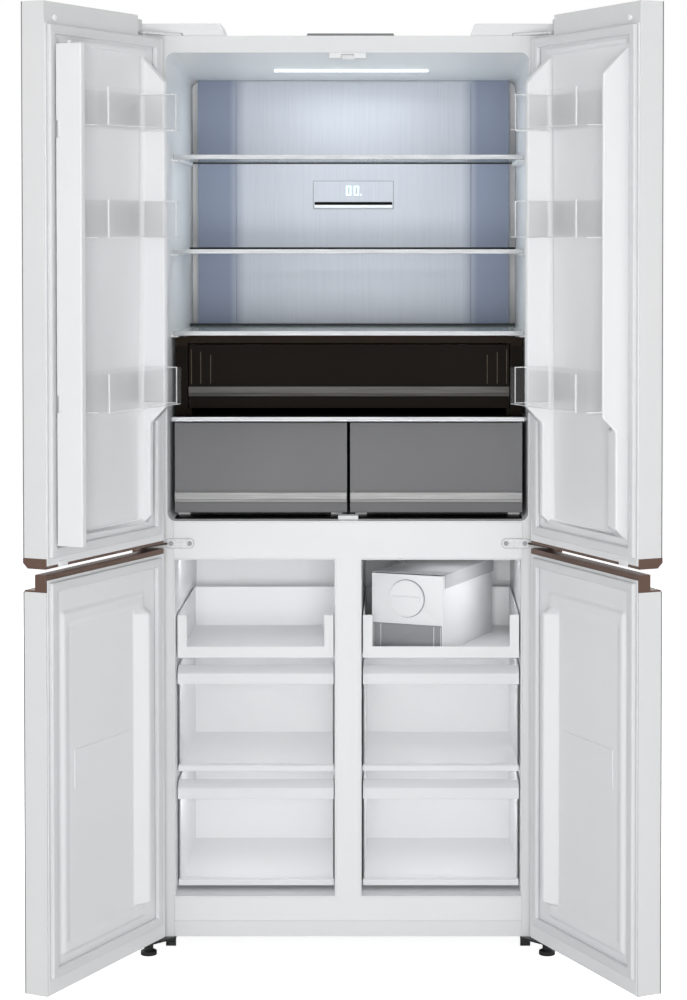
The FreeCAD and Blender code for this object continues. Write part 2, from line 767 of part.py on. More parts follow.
def fridge_interior():
    duct_top = f"({ceiling_at(f'{DUCT_FRONT} + duct_plate')} - glide_gap)"
    duct_half = f"({FRIDGE_HALF} - liner_corner)"
    part("fridge_duct_panel", box(
        "duct", (f"-{duct_half}", duct_half), (DUCT_FRONT, f"{DUCT_FRONT} + duct_plate"),
        (FRIDGE_FLOOR, duct_top),
    ))
    panel_low = f"({MIDDLE_SHELF} + panel_rise)"
    part("control_panel", box(
        "panel", ("-panel_width / 2", "panel_width / 2"), (f"{DUCT_FRONT} - panel_proud", DUCT_FRONT),
        (panel_low, f"{panel_low} + panel_height"),
    ))
    light_front = "(light_back - light_width)"
    lens = [
        (light_front, f"{ceiling_at(light_front)} - light_thick"),
        ("light_back", f"{ceiling_at('light_back')} - light_thick"),
        ("light_back", ceiling_at("light_back")),
        (light_front, ceiling_at(light_front)),
    ]
    part("ceiling_light", profile("light_lens", "x", lens, ("-light_length / 2", "light_length / 2")))

    guide = [
        ("guide_front", GUIDE_BOTTOM),
        ("guide_back", GUIDE_BOTTOM),
        ("guide_back", ceiling_at("guide_back")),
        ("guide_front", ceiling_at("guide_front")),
    ]
    block = profile("guide_block", "x", guide, ("-guide_half_width", "guide_half_width"))
    slot = box(
        "guide_slot_space", ("-guide_slot / 2", "guide_slot / 2"), ("0", "guide_back - liner_wall"),
        (f"{GUIDE_BOTTOM} - guide_top_gap", f"{FRIDGE_CEILING} - guide_top_gap"),
    )
    floor_guide = box(
        "floor_guide", ("-floor_guide_half_width", "floor_guide_half_width"),
        ("floor_guide_front", "floor_guide_back"),
        (FRIDGE_FLOOR, f"{FRIDGE_FLOOR} + floor_guide_height"),
    )
    part("mullion_guides", cut("top_guide", block, slot), floor_guide)

    panes = []
    trims = []
    shelf_half = f"({FRIDGE_HALF} - shelf_end_gap)"
    for seat in SHELF_SEATS:
        front = "crisper_shelf_front" if seat == CRISPER_SHELF else "shelf_front"
        middle = f"({seat} + glass_thick / 2)"
        pane = box(
            "pane", (f"-{shelf_half}", shelf_half), (f"{front} + shelf_trim_depth / 2", SHELF_BACK),
            (seat, f"{seat} + glass_thick"),
        )
        bar = box(
            "trim_bar", (f"-{shelf_half}", shelf_half), (front, f"{front} + shelf_trim_depth"),
            (f"{middle} - shelf_trim_height / 2", f"{middle} + shelf_trim_height / 2"),
        )
        panes.append(pane)
        trims.append(cut("shelf_trim", bar, pane))
    part("shelf_glass", *panes)
    part("shelf_trims", *trims)


def fridge_drawers():
    deck = f"({CRISPER_SHELF} + glass_thick)"
    fresh_low = f"({deck} + fresh_rise)"
    fresh_top = f"({fresh_low} + fresh_height)"
    fresh_x = (f"-{FRESH_HALF}", FRESH_HALF)
    fresh_y = ("fresh_front", FRESH_BACK)
    cheek = f"({FRESH_HALF} + cheek_gap)"
    wall = box(
        "cheek_wall_plate", (f"-{cheek} - cheek_wall", f"-{cheek}"), fresh_y, (deck, LOWER_SHELF),
    )
    ledge = box(
        "cheek_ledge_bar", (f"-{cheek} - cheek_wall / 2", f"-{cheek} + cheek_ledge"), fresh_y,
        (deck, f"{fresh_low} - glide_gap"),
    )
    face = box(
        "cheek_face", (f"-{cheek} - cheek_front_width", f"-{cheek}"),
        ("fresh_front", "fresh_front + cheek_wall"), (deck, f"{LOWER_SHELF} - shelf_rib_height - glide_gap"),
    )
    bridge = box(
        "cheek_bridge", (f"-{cheek} - cheek_wall / 2", f"{cheek} + cheek_wall / 2"),
        ("fresh_front", "fresh_front + cheek_wall"), (f"{fresh_top} + 2 * cheek_gap", LOWER_SHELF),
    )
    left_side = [wall, ledge, face]
    right_side = [mirror_solid("cheek_right", solid) for solid in left_side]
    part("fresh_zone_frame", fuse("fresh_surround", bridge, *left_side, *right_side))
    part("fresh_drawer", hollow(
        "fresh", fresh_x, fresh_y, (fresh_low, fresh_top), "drawer_wall", "drawer_front_wall",
    ))
    part("fresh_drawer_handle", handle(
        "fresh_bar", fresh_x, "fresh_front", f"{fresh_low} + fresh_handle_rise",
    ))

    crisper_low = f"({FRIDGE_FLOOR} + crisper_rise)"
    crisper_x = (f"-{FRIDGE_HALF} + crisper_side_gap", "-crisper_middle_gap / 2")
    left = part("left_crisper", hollow(
        "crisper", crisper_x, ("crisper_front", CRISPER_BACK),
        (crisper_low, f"{crisper_low} + crisper_height"), "drawer_wall", "drawer_front_wall",
    ))
    left_handle = part("left_crisper_handle", handle(
        "crisper_bar", crisper_x, "crisper_front", f"{crisper_low} + crisper_handle_rise",
    ))
    mirrored("right_crisper", left)
    mirrored("right_crisper_handle", left_handle)


def handle(name, x, front, low):
    """A drawer's full-width handle strip: a channel whose lower lip is pulled from below."""
    points = [
        (front, low),
        (front, f"{low} + handle_height"),
        (f"{front} - handle_depth", f"{low} + handle_height"),
        (f"{front} - handle_depth", f"{low} + handle_lip"),
        (f"{front} - handle_depth / 2", f"{low} + handle_lip"),
        (f"{front} - handle_depth / 2", low),
    ]
    return profile(name, "x", points, x)


def freezer_drawers():
    outer = f"-{FREEZER_HALF} + freezer_side_gap"
    inner = f"-{MULLION_HALF} - freezer_side_gap"
    x = (outer, inner)
    tray_top = f"({TRAY_LOW} + tray_height)"
    shell = hollow(
        "tray", x, ("freezer_lip_front", FREEZER_BACK), (TRAY_LOW, tray_top), "drawer_wall",
    )
    dip = box(
        "tray_dip", (f"{outer} + tray_post", f"{inner} - tray_post"),
        ("freezer_lip_front - drawer_wall", "freezer_lip_front + 2 * drawer_wall"),
        (f"{TRAY_LOW} + tray_lip", f"{tray_top} + drawer_wall"),
    )
    mirrored("right_top_tray", part("left_top_tray", cut("tray_cut", shell, dip)))
    for level, low in (("middle", MIDDLE_LOW), ("bottom", BOTTOM_LOW)):
        top = f"({low} + {DRAWER_PITCH} - drawer_gap)"
        lip_top = f"({top} - lip_drop)"
        shell = hollow(
            f"{level}_box", x, ("freezer_drawer_front", FREEZER_BACK), (low, top),
            "freezer_drawer_wall",
        )
        lip = [
            ("freezer_lip_front", f"{lip_top} - lip_height"),
            ("freezer_lip_front + lip_wall", f"{lip_top} - lip_height"),
            ("freezer_lip_front + lip_wall", f"{lip_top} - lip_wall"),
            ("freezer_drawer_front + freezer_drawer_wall", f"{top} - lip_wall"),
            ("freezer_drawer_front + freezer_drawer_wall", top),
            ("freezer_drawer_front - lip_wall", top),
            ("freezer_lip_front", lip_top),
        ]
        toe = [
            ("freezer_drawer_front - toe_proud", low),
            ("freezer_drawer_front + freezer_drawer_wall / 2", low),
            ("freezer_drawer_front + freezer_drawer_wall / 2", f"{low} + lip_drop"),
            ("freezer_drawer_front - toe_proud", f"{low} + lip_drop - lip_wall"),
        ]
        pieces = [shell, profile(f"{level}_lip", "x", lip, x), profile(f"{level}_toe", "x", toe, x)]
        left = part(f"left_{level}_drawer", fuse(f"{level}_drawer", *pieces))
        mirrored(f"right_{level}_drawer", left)


# Doors
def ring(name, x, z, y, width):
    """A flat frame of one width, such as a gasket."""
    blank = box(name + "_blank", x, y, z)
    middle = box(
        name + "_middle", (f"({x[0]}) + {width}", f"({x[1]}) - {width}"), (f"-{FAR}", FAR),
        (f"({z[0]}) + {width}", f"({z[1]}) - {width}"),
    )
    return cut(name, blank, middle)


def door_outline():
    return [
        (DOOR_HINGE_EDGE, DOOR_FRONT),
        (DOOR_FREE_EDGE, DOOR_FRONT),
        (DOOR_FREE_EDGE, SLAB_BACK),
        (DOOR_HINGE_EDGE, SLAB_BACK),
    ]


def front_corner(edge):
    """The upright edges on the front of a door panel."""
    return along("z")(edge) and edge.Vertexes[0].Point.y < 0


def upper_doors():
    slab_low = f"({UPPER_BOTTOM} + trim_height)"
    slab = profile(
        "upper_slab", "z", door_outline(), (slab_low, DOOR_TOP), "door_edge_radius", front_corner,
    )
    notch = box(
        "upper_notch", (f"-{FAR}", "notch_length - hinge_inset"), (f"{DOOR_FRONT} + notch_wall", FAR),
        (NOTCH_FLOOR, FAR),
    )
    top_bore = rod("upper_top_bore", "z", PIN_BORE, ("0", "0"), (f"{NOTCH_FLOOR} - hinge_pin_length", FAR))
    low_bore = rod(
        "upper_low_bore", "z", PIN_BORE, ("0", "0"), ("0", f"{UPPER_BOTTOM} + hinge_pin_length + bore_spare"),
    )
    panel = door_part("upper_left_door_panel", cut("upper_panel", slab, notch, top_bore, low_bore))
    mirrored("upper_right_door_panel", panel)

    trim = [
        (f"{DOOR_FRONT} + trim_scoop", UPPER_BOTTOM),
        (SLAB_BACK, UPPER_BOTTOM),
        (SLAB_BACK, slab_low),
        (DOOR_FRONT, slab_low),
        (DOOR_FRONT, f"{UPPER_BOTTOM} + trim_scoop"),
    ]
    bar = profile("upper_trim_bar", "x", trim, (DOOR_HINGE_EDGE, DOOR_FREE_EDGE))
    mirrored("upper_right_door_bottom_trim", door_part("upper_left_door_bottom_trim", cut(
        "upper_trim", bar, low_bore,
    )))

    gasket = ring(
        "upper_gasket", GASKET_X, (f"{FRIDGE_FLOOR} - gasket_low_drop", "cabinet_top - gasket_top_drop"),
        (DOOR_BACK, f"{DOOR_BACK} + gasket_height"), "gasket_width",
    )
    mirrored("upper_right_door_gasket", door_part("upper_left_door_gasket", gasket))

    plate = box(
        "upper_liner_plate",
        (f"{DOOR_HINGE_EDGE} + door_edge_radius", f"{DOOR_FREE_EDGE} - door_edge_radius"),
        (SLAB_BACK, DOOR_BACK),
        (f"{slab_low} - liner_drop", f"{NOTCH_FLOOR} - door_edge_radius"),
    )
    low_x = "(dyke_hinge_inset - hinge_inset)"
    high_x = f"({DOOR_FREE_EDGE} - dyke_free_inset)"
    dyke_z = (f"{FRIDGE_FLOOR} + dyke_low_rise", f"({FRIDGE_CEILING} - dyke_top_gap)")
    foot_z = (f"({FRIDGE_FLOOR} + foot_low_rise)", f"{FRIDGE_FLOOR} + foot_high_rise")
    hinge_dyke = liner_ridge("hinge_dyke", (low_x, f"{low_x} + dyke_width"), dyke_z, "dyke_depth")
    hinge_dyke.setExpression("X2min", formula(f"{low_x} + dyke_taper"))
    free_dyke = liner_ridge("free_dyke", (f"{high_x} - dyke_free_width", high_x), dyke_z, "dyke_depth")
    hinge_foot = liner_ridge(
        "hinge_foot", (f"{low_x} + dyke_taper", f"{low_x} + dyke_width"), foot_z, "hinge_foot_depth",
    )
    free_foot = liner_ridge("free_foot", (f"{high_x} - free_foot_width", high_x), foot_z, "free_foot_depth")
    lands = [
        frustum(
            name, (low_x, high_x), (low, f"{low} + liner_land"),
            (SLAB_BACK, f"{DOOR_BACK} + liner_land_depth"), "liner_land_taper",
        )
        for name, low in (("liner_sill", foot_z[0]), ("liner_head", dyke_z[1]))
    ]
    shared = fuse("upper_liner", plate, hinge_dyke, free_dyke, hinge_foot, free_foot, *lands)
    door_part("upper_left_door_liner", fuse("upper_left_liner", shared, *knuckles(high_x)))
    plain = door_part("upper_right_liner_source", shared)
    nodes.remove(plain)
    mirrored("upper_right_door_liner", plain)

    bin_x = (f"{low_x} + dyke_width + bin_end_gap", f"{high_x} - dyke_free_width - bin_end_gap")
    bin_levels = (("top_bin", TOP_BIN), ("middle_bin", MIDDLE_BIN), ("lower_bin", LOWER_BIN))
    bins = [door_bin(name, bin_x, low) for name, low in bin_levels]
    mirrored("upper_right_door_bins", door_part("upper_left_door_bins", *bins))


def liner_ridge(name, x, z, height):
    """An upright ridge on a door's liner, whose two ends slope at about 45 degrees."""
    ridge = frustum(name, x, z, (SLAB_BACK, f"{DOOR_BACK} + {height}"), "0")
    ridge.setExpression("Z2min", formula(f"{z[0]} + {height}"))
    ridge.setExpression("Z2max", formula(f"{z[1]} - {height}"))
    return ridge


def door_bin(name, x, low):
    """An open bin with rounded front corners, held between the two dykes."""
    back = f"({DOOR_BACK} + bin_back_gap)"
    front = f"({DOOR_BACK} + bin_reach)"

    def block(label, grow, floor, top):
        points = [
            (f"{x[0]} - {grow}", f"{back} - {grow}"),
            (f"{x[1]} + {grow}", f"{back} - {grow}"),
            (f"{x[1]} + {grow}", f"{front} + {grow}"),
            (f"{x[0]} - {grow}", f"{front} + {grow}"),
        ]
        middle = value(f"{back} + bin_reach / 2")

        def outer_corner(edge):
            return along("z")(edge) and edge.Vertexes[0].Point.y > middle
        return profile(label, "z", points, (floor, top), f"bin_corner + {grow}", outer_corner)
    blank = block(name + "_blank", "0", low, f"{low} + bin_height")
    inside = block(name + "_inside", "(-bin_wall)", f"{low} + bin_wall", f"{low} + bin_height + bin_wall")
    return cut(name, blank, inside)


def knuckles(dyke_face):
    """Blocks on the left door's free dyke that carry the flip mullion's two pivots."""
    solids = []
    for low in KNUCKLE_LEVELS:
        solids.append(box(
            "knuckle_arm", (f"{dyke_face} - dyke_free_width / 2", FLIP_X),
            (f"{FLIP_Y} - flip_pivot_edge / 2", f"{FLIP_Y} + flip_pivot_edge / 2"),
            (low, f"{low} + knuckle_height"),
        ))
        solids.append(rod(
            "knuckle_barrel", "z", "flip_pivot_edge - bin_end_gap", (FLIP_X, FLIP_Y),
            (low, f"{low} + knuckle_height"),
        ))
        solids.append(rod(
            "knuckle_pin", "z", "knuckle_pin_radius", (FLIP_X, FLIP_Y),
            (f"{low} - knuckle_pin_length", f"{low} + knuckle_height + knuckle_pin_length"),
        ))
    return solids


def flip_mullion():
    """The sealing bar of the left door, drawn folded, at right angles to the door."""
    low = f"({FRIDGE_FLOOR} + flip_floor_gap)"
    top = f"({GUIDE_BOTTOM} - guide_top_gap)"
    half = "(flip_thick / 2)"
    bar = profile(
        "flip_bar", "z",
        [
            (f"{FLIP_X} - {half}", f"{FLIP_Y} - flip_pivot_edge"),
            (f"{FLIP_X} + {half}", f"{FLIP_Y} - flip_pivot_edge"),
            (f"{FLIP_X} + {half}", FLIP_TIP),
            (f"{FLIP_X} - {half}", FLIP_TIP),
        ],
        (low, top), "flip_corner", along("z"),
    )
    pin = rod(
        "flip_pin", "z", "flip_pin_radius", (FLIP_X, f"{FLIP_Y} + flip_pin_offset"),
        (f"{top} - flip_pin_height", f"{top} + flip_pin_height"),
    )
    cuts = []
    for level in KNUCKLE_LEVELS:
        cuts.append(box(
            "flip_pocket", (f"{FLIP_X} - flip_thick", f"{FLIP_X} + flip_thick"),
            (f"{FLIP_Y} - flip_thick", f"{FLIP_Y} + flip_pivot_edge + bin_end_gap"),
            (f"{level} - glide_gap", f"{level} + knuckle_height + glide_gap"),
        ))
        cuts.append(rod(
            "flip_bore", "z", "knuckle_pin_radius + pin_play", (FLIP_X, FLIP_Y),
            (
                f"{level} - knuckle_pin_length - bore_spare",
                f"{level} + knuckle_height + knuckle_pin_length + bore_spare",
            ),
        ))
    door_part("flip_mullion", cut("flip", fuse("flip_blank", bar, pin), *cuts))


def lower_doors():
    ledge = f"({LOWER_TOP} - grip_height)"
    slab = profile(
        "lower_slab", "z", door_outline(), (LOWER_BOTTOM, ledge), "door_edge_radius", front_corner,
    )
    low_bore = rod(
        "lower_low_bore", "z", PIN_BORE, ("0", "0"), ("0", f"{LOWER_BOTTOM} + hinge_pin_length + bore_spare"),
    )
    mirrored("lower_right_door_panel", door_part("lower_left_door_panel", cut("lower_panel", slab, low_bore)))

    grip_front = f"({DOOR_FRONT} + grip_floor)"
    strip_front = f"({SLAB_BACK} - grip_depth)"
    grip = [
        (grip_front, ledge),
        (SLAB_BACK, ledge),
        (SLAB_BACK, LOWER_TOP),
        (strip_front, LOWER_TOP),
        (strip_front, f"{ledge} + grip_floor"),
        (grip_front, f"{ledge} + grip_floor"),
    ]
    strip = profile("grip_strip", "x", grip, (DOOR_HINGE_EDGE, DOOR_FREE_EDGE))
    end_block = box(
        "grip_end_block", (DOOR_HINGE_EDGE, f"{DOOR_HINGE_EDGE} + grip_end"), (grip_front, SLAB_BACK),
        (ledge, LOWER_TOP),
    )
    top_bore = rod("lower_top_bore", "z", PIN_BORE, ("0", "0"), (f"{LOWER_TOP} - hinge_pin_length", FAR))
    mirrored("lower_right_door_handle_trim", door_part("lower_left_door_handle_trim", cut(
        "grip", fuse("grip_blank", strip, end_block), top_bore,
    )))

    liner_top = f"({LOWER_TOP} - lower_liner_drop)"
    gasket = ring(
        "lower_gasket", GASKET_X, ("kick_top + lower_liner_drop", f"{liner_top} - gasket_free_inset"),
        (DOOR_BACK, f"{DOOR_BACK} + gasket_height"), "gasket_width",
    )
    mirrored("lower_right_door_gasket", door_part("lower_left_door_gasket", gasket))

    plate = box(
        "lower_liner_plate",
        (f"{DOOR_HINGE_EDGE} + door_edge_radius", f"{DOOR_FREE_EDGE} - door_edge_radius"),
        (SLAB_BACK, DOOR_BACK), (f"{LOWER_BOTTOM} + door_edge_radius", liner_top),
    )
    dish_x = ("dish_inset - hinge_inset", f"{DOOR_FREE_EDGE} - dish_free_inset")
    dish_z = ("freezer_floor + dish_end_gap", "freezer_ceiling - dish_end_gap")
    plateau = frustum(
        "lower_plateau", dish_x, dish_z, (SLAB_BACK, f"{DOOR_BACK} + plateau_depth"), "plateau_taper",
    )
    floor = f"({DOOR_BACK} + plateau_depth - dish_depth)"
    dish = frustum(
        "lower_dish",
        (f"{dish_x[0]} + dish_edge + dish_depth", f"{dish_x[1]} - dish_edge - dish_depth"),
        (f"{dish_z[0]} + dish_edge + dish_depth", f"{dish_z[1]} - dish_edge - dish_depth"),
        (floor, f"{DOOR_BACK} + plateau_depth + plateau_taper"), "(-dish_depth)",
    )
    plate_middle = f"(({dish_x[0]} + {dish_x[1]}) / 2)"
    plate_low = "(freezer_floor + name_plate_rise - name_plate_height)"
    bare_plate = box(
        "bare_plate", (f"{plate_middle} - name_plate_width / 2", f"{plate_middle} + name_plate_width / 2"),
        (f"{floor} - name_plate_thick", f"{floor} + name_plate_thick"),
        (plate_low, f"{plate_low} + name_plate_height"),
    )
    mirrored("lower_right_door_liner", door_part("lower_left_door_liner", fuse(
        "lower_liner", cut("lower_dished", plateau, dish), plate, bare_plate,
    )))


# Hinges, screws, feet and rollers
def arm(name, low, thick, heel_inner, heel_outer, heel_back):
    """A flat hinge arm: a heel inboard of the axis and a round nose at the axis."""
    lean_x = "hinge_arm_radius * cos(hinge_arm_lean)"
    lean_y = "hinge_arm_radius * sin(hinge_arm_lean)"
    heel = profile(
        name + "_arm", "z",
        [
            (f"-{AXIS_SIDE} - {lean_x}", f"{HINGE_Y} - {lean_y}"),
            (f"-{AXIS_SIDE} + {lean_y}", f"{HINGE_Y} - {lean_x}"),
            (f"-({heel_inner})", "-middle_plate_thick"),
            (f"-({heel_inner})", heel_back),
            (f"-({heel_outer})", heel_back),
            (f"-({heel_outer})", "-middle_plate_thick"),
        ],
        (low, f"{low} + {thick}"),
    )
    nose = rod(name + "_nose", "z", "hinge_arm_radius", (f"-{AXIS_SIDE}", HINGE_Y), (low, f"{low} + {thick}"))
    return [heel, nose]


def hinge_pin(name, low, high, radius="hinge_pin_radius"):
    return rod(name, "z", radius, (f"-{AXIS_SIDE}", HINGE_Y), (low, high))


def screw(name, axis, centre, seat, direction, depth):
    """A screw whose head seats on a plate and whose shank goes through the plate's hole."""
    outward = f"{seat} {direction} screw_head_height"
    inward = f"{seat} {'+' if direction == '-' else '-'} {depth}"
    head_span = (outward, seat) if direction == "-" else (seat, outward)
    shank_span = (seat, inward) if direction == "-" else (inward, seat)
    head = rod(name + "_head", axis, "screw_head_radius", centre, head_span)
    shank = rod(name + "_shank", axis, "screw_radius", centre, shank_span)
    hole = rod(name + "_hole", axis, "screw_radius", centre, shank_span)
    return fuse(name, head, shank), hole


def hinges():
    screws = []
    # Top hinge: plate on the roof, arm over the door's notch, pin down into the door
    roof_holes = []
    for edge, back in (
        (f"{PLATE_OUTER} - screw_inset", "screw_inset"),
        (f"{TOP_PLATE_INNER} + screw_inset", "screw_inset"),
        (f"({PLATE_OUTER} + {TOP_PLATE_INNER}) / 2", "top_plate_back - screw_inset"),
    ):
        centre = (f"-({edge})", f"cover_set_back + cover_wall + {back}")
        one, hole = screw("roof_screw", "z", centre, "cabinet_top + hinge_plate", "+", "hinge_plate")
        screws.append(one)
        roof_holes.append(hole)
    plate_back = "cover_set_back + cover_wall + top_plate_back"
    top_arm = arm("top", "cabinet_top", "hinge_plate", TOP_PLATE_INNER, PLATE_OUTER, plate_back)
    top = cut("top_hinge", fuse(
        "top_hinge_blank", *top_arm,
        hinge_pin("top_pin", f"{NOTCH_FLOOR} - hinge_pin_length + bore_spare", "cabinet_top + hinge_plate"),
    ), *roof_holes)

    # Middle hinge: plate on the crossbar, arm between the doors, a pin up and a pin down
    plate_low = f"({SPLIT} - middle_plate_height / 2)"
    plate_high = f"({SPLIT} + middle_plate_height / 2)"
    plate_corners = [
        (f"-{PLATE_OUTER}", plate_low),
        (f"-{PLATE_INNER}", plate_low),
        (f"-{PLATE_INNER}", plate_high),
        (f"-{PLATE_OUTER}", plate_high),
    ]
    plate = profile(
        "middle_plate", "y", plate_corners, ("-middle_plate_thick", "0"), "middle_plate_corner", along("y"),
    )
    front_holes = []
    for edge in (f"{PLATE_OUTER} - outer_screw_inset", f"{PLATE_INNER} + screw_inset"):
        one, hole = screw(
            "front_screw", "y", (f"-({edge})", SPLIT), "-middle_plate_thick", "-", "middle_plate_thick",
        )
        screws.append(one)
        front_holes.append(hole)
    arm_low = f"({SPLIT} - hinge_plate / 2)"
    middle_arm = arm(
        "middle", arm_low, "hinge_plate", f"{PLATE_OUTER} - middle_heel_width", PLATE_OUTER,
        "-middle_plate_thick / 2",
    )
    middle = cut("middle_hinge", fuse(
        "middle_hinge_blank", plate, *middle_arm,
        hinge_pin(
            "middle_pin", f"{LOWER_TOP} - hinge_pin_length + bore_spare",
            f"{UPPER_BOTTOM} + hinge_pin_length",
        ),
    ), *front_holes)

    # Bottom hinge: plate under the cabinet, pin up into the lower door, a threaded hole for the foot
    low = "(cabinet_bottom - hinge_plate)"
    bottom_arm = arm(
        "bottom", low, "hinge_plate", BOTTOM_PLATE_INNER, INSIDE, "bottom_plate_back",
    )
    tab = box(
        "bottom_tab", (f"-{BOTTOM_PLATE_INNER} - hinge_tab_width", f"-{BOTTOM_PLATE_INNER}"),
        ("-middle_plate_thick", "0"), (f"{low} - hinge_tab_drop", f"{low} + hinge_plate / 2"),
    )
    collar = hinge_pin("bottom_collar", low, f"{LOWER_BOTTOM} - glide_gap", "collar_radius")
    foot_hole = rod(
        "foot_hole", "z", "foot_stem_radius + pin_play", (f"-({HALF} - foot_inset)", "-foot_forward"),
        ("0", "cabinet_bottom"),
    )
    bottom = cut("bottom_hinge", fuse(
        "bottom_hinge_blank", *bottom_arm, tab, collar,
        hinge_pin("bottom_pin", low, f"{LOWER_BOTTOM} + hinge_pin_length"),
    ), foot_hole)
    left_hinges = [top, middle, bottom]
    part("door_hinges", *left_hinges, *[mirror_solid("hinge_right", one) for one in left_hinges])
    part("hinge_screws", *screws, *[mirror_solid("screw_right", one) for one in screws])


def feet_and_rollers():
    stem_top = "(cabinet_bottom + door_foot_gap / 2)"
    foot = turned("foot_turning", [
        ("0", "0"),
        ("foot_radius", "0"),
        ("foot_radius", "foot_rim_height"),
        ("foot_neck_radius", "foot_height"),
        ("foot_neck_radius", "cabinet_bottom - hinge_plate - glide_gap"),
        ("foot_stem_radius", "cabinet_bottom - hinge_plate - glide_gap"),
        ("foot_stem_radius", stem_top),
        ("0", stem_top),
    ])
    place(foot, f"-({HALF} - foot_inset)", "-foot_forward")
    mirrored("right_foot", part("left_foot", foot))
    wheel = rod(
        "roller_wheel", "x", "roller_radius", (ROLLER_BACK, "roller_radius"),
        (f"-({HALF} - roller_inset) - roller_width / 2", f"-({HALF} - roller_inset) + roller_width / 2"),
    )
    bore = rod(
        "roller_bore", "x", "roller_axle_radius + pin_play", (ROLLER_BACK, "roller_radius"), (f"-{FAR}", FAR),
    )
    roller = cut("roller", wheel, bore)
    part("rear_rollers", roller, mirror_solid("roller_right", roller))


def roof_covers():
    outer = INSIDE
    inner = f"({outer} - cover_length)"
    roof = "(cabinet_top + cover_height)"
    shape = [
        (f"-{outer}", "cabinet_top"),
        (f"-{inner}", "cabinet_top"),
        (f"-{inner} - cover_slope", roof),
        (f"-{outer}", roof),
    ]
    cover_y = ("cover_set_back", "cover_set_back + cover_depth")
    shell = profile("hinge_cover_shell", "y", shape, cover_y)
    space = box(
        "hinge_cover_space", (f"-{outer} + cover_wall", f"-{inner} - cover_slope - cover_wall"),
        (f"-{FAR}", f"{cover_y[1]} - cover_wall"), ("0", f"{roof} - cover_wall"),
    )
    front = box(
        "hinge_cover_front", (f"-{outer} + cover_wall / 2", f"-{inner} - cover_slope - cover_wall / 2"),
        (cover_y[0], f"{cover_y[0]} + cover_wall"), ("cabinet_top", f"{roof} - cover_wall / 2"),
    )
    arm_space = box(
        "hinge_cover_arm_space", (f"-{PLATE_OUTER} - cover_arm_gap", f"-{TOP_PLATE_INNER} + cover_arm_gap"),
        (f"-{FAR}", f"{cover_y[0]} + 2 * cover_wall"), ("0", "cabinet_top + hinge_plate + cover_arm_gap"),
    )
    face = cut("hinge_cover_face", front, arm_space)
    cover = fuse("hinge_cover", cut("hinge_cover_cut", shell, space), face)
    board = frustum(
        "board_cover_block", ("-board_cover_half_width", "board_cover_half_width"),
        ("board_cover_front", "board_cover_back"), ("0", "board_cover_height"), "cover_slope",
    )
    board.Placement = Placement(Vector(), Rotation(Vector(1, 0, 0), 90))
    place(board, "0", "board_cover_front + board_cover_back", "cabinet_top")
    part("top_covers", cover, mirror_solid("hinge_cover_right", cover), board)


# Cooling circuit
def coil_block(name, half_width, middle, y, z):
    """Tubes through two end plates and a row of thin fins, as in a fin-and-tube exchanger."""
    solids = []
    fin_count = int(value("coil_fins"))
    for index in range(fin_count):
        share = f"(2 * {index} / {fin_count - 1} - 1)"
        start = f"({middle} + {share} * ({half_width} - coil_plate / 2))"
        solids.append(box(
            name + "_fin", (f"{start} - coil_plate / 2", f"{start} + coil_plate / 2"), y, z,
        ))
    columns = int(value("coil_columns")) if name == "condenser" else 1
    rows = int(value("coil_rows"))
    tube_half = f"({half_width} + coil_tube_radius)"
    for column in range(columns):
        back = f"({y[0]} + ({y[1]} - ({y[0]})) * {2 * column + 1} / {2 * columns})"
        for level in range(rows):
            up = f"({z[0]} + ({z[1]} - ({z[0]})) * {2 * level + 1} / {2 * rows})"
            solids.append(rod(
                name + "_tube", "x", "coil_tube_radius", (back, up),
                (f"{middle} - {tube_half}", f"{middle} + {tube_half}"),
            ))
    return solids


def cooling():
    can = turned("compressor_can", [
        ("0", "compressor_foot"),
        ("compressor_rim_radius", "compressor_foot"),
        ("compressor_radius", "compressor_shoulder"),
        ("compressor_radius", "compressor_height - compressor_shoulder"),
        ("compressor_rim_radius", "compressor_height - compressor_crown_drop"),
        ("compressor_crown_radius", "compressor_height"),
        ("0", "compressor_height"),
    ])
    compressor_back = "(cabinet_depth - compressor_from_back)"
    place(can, "-compressor_side", compressor_back, MACHINE_FLOOR)
    sole = box(
        "compressor_sole", ("-compressor_side - compressor_radius", "-compressor_side + compressor_radius"),
        (f"{compressor_back} - compressor_radius", f"{compressor_back} + compressor_radius"),
        (MACHINE_FLOOR, f"{MACHINE_FLOOR} + compressor_sole"),
    )
    part("compressor", fuse("compressor_body", can, sole))

    back_face = "(cabinet_depth - condenser_from_back)"
    y = (f"({back_face} - condenser_depth)", back_face)
    z = (MACHINE_FLOOR, f"({MACHINE_FLOOR} + condenser_height)")
    solids = coil_block("condenser", "condenser_half_width", "condenser_side", y, z)
    fan_y = f"({back_face} - condenser_depth / 2)"
    fan_z = f"({MACHINE_FLOOR} + condenser_height / 2)"
    end = "(condenser_side - condenser_half_width)"
    motor = rod(
        "fan_motor", "x", "fan_hub_radius", (fan_y, fan_z),
        (f"{end} - fan_motor_length", f"{end} + coil_plate / 2"),
    )
    wheel_start = f"({end} - fan_motor_length - fan_gap - fan_hub_width)"
    shaft_start = f"({wheel_start} + fan_cap + fan_gap)"
    shaft = rod("fan_shaft", "x", "fan_shaft_radius", (fan_y, fan_z), (shaft_start, end))
    part("condenser", fuse("condenser_core", *solids, motor, shaft))
    condenser_fan(wheel_start, fan_y, fan_z)

    evaporator_y = (f"({DUCT_FRONT} + duct_plate)", f"({DUCT_FRONT} + duct_plate + evaporator_depth)")
    evaporator_low = f"({FRIDGE_FLOOR} + evaporator_rise)"
    evaporator = coil_block(
        "evaporator", "evaporator_half_width", "0", evaporator_y,
        (evaporator_low, f"({evaporator_low} + evaporator_height)"),
    )
    part("evaporator", fuse("evaporator_core", *evaporator))
    machine_cover()


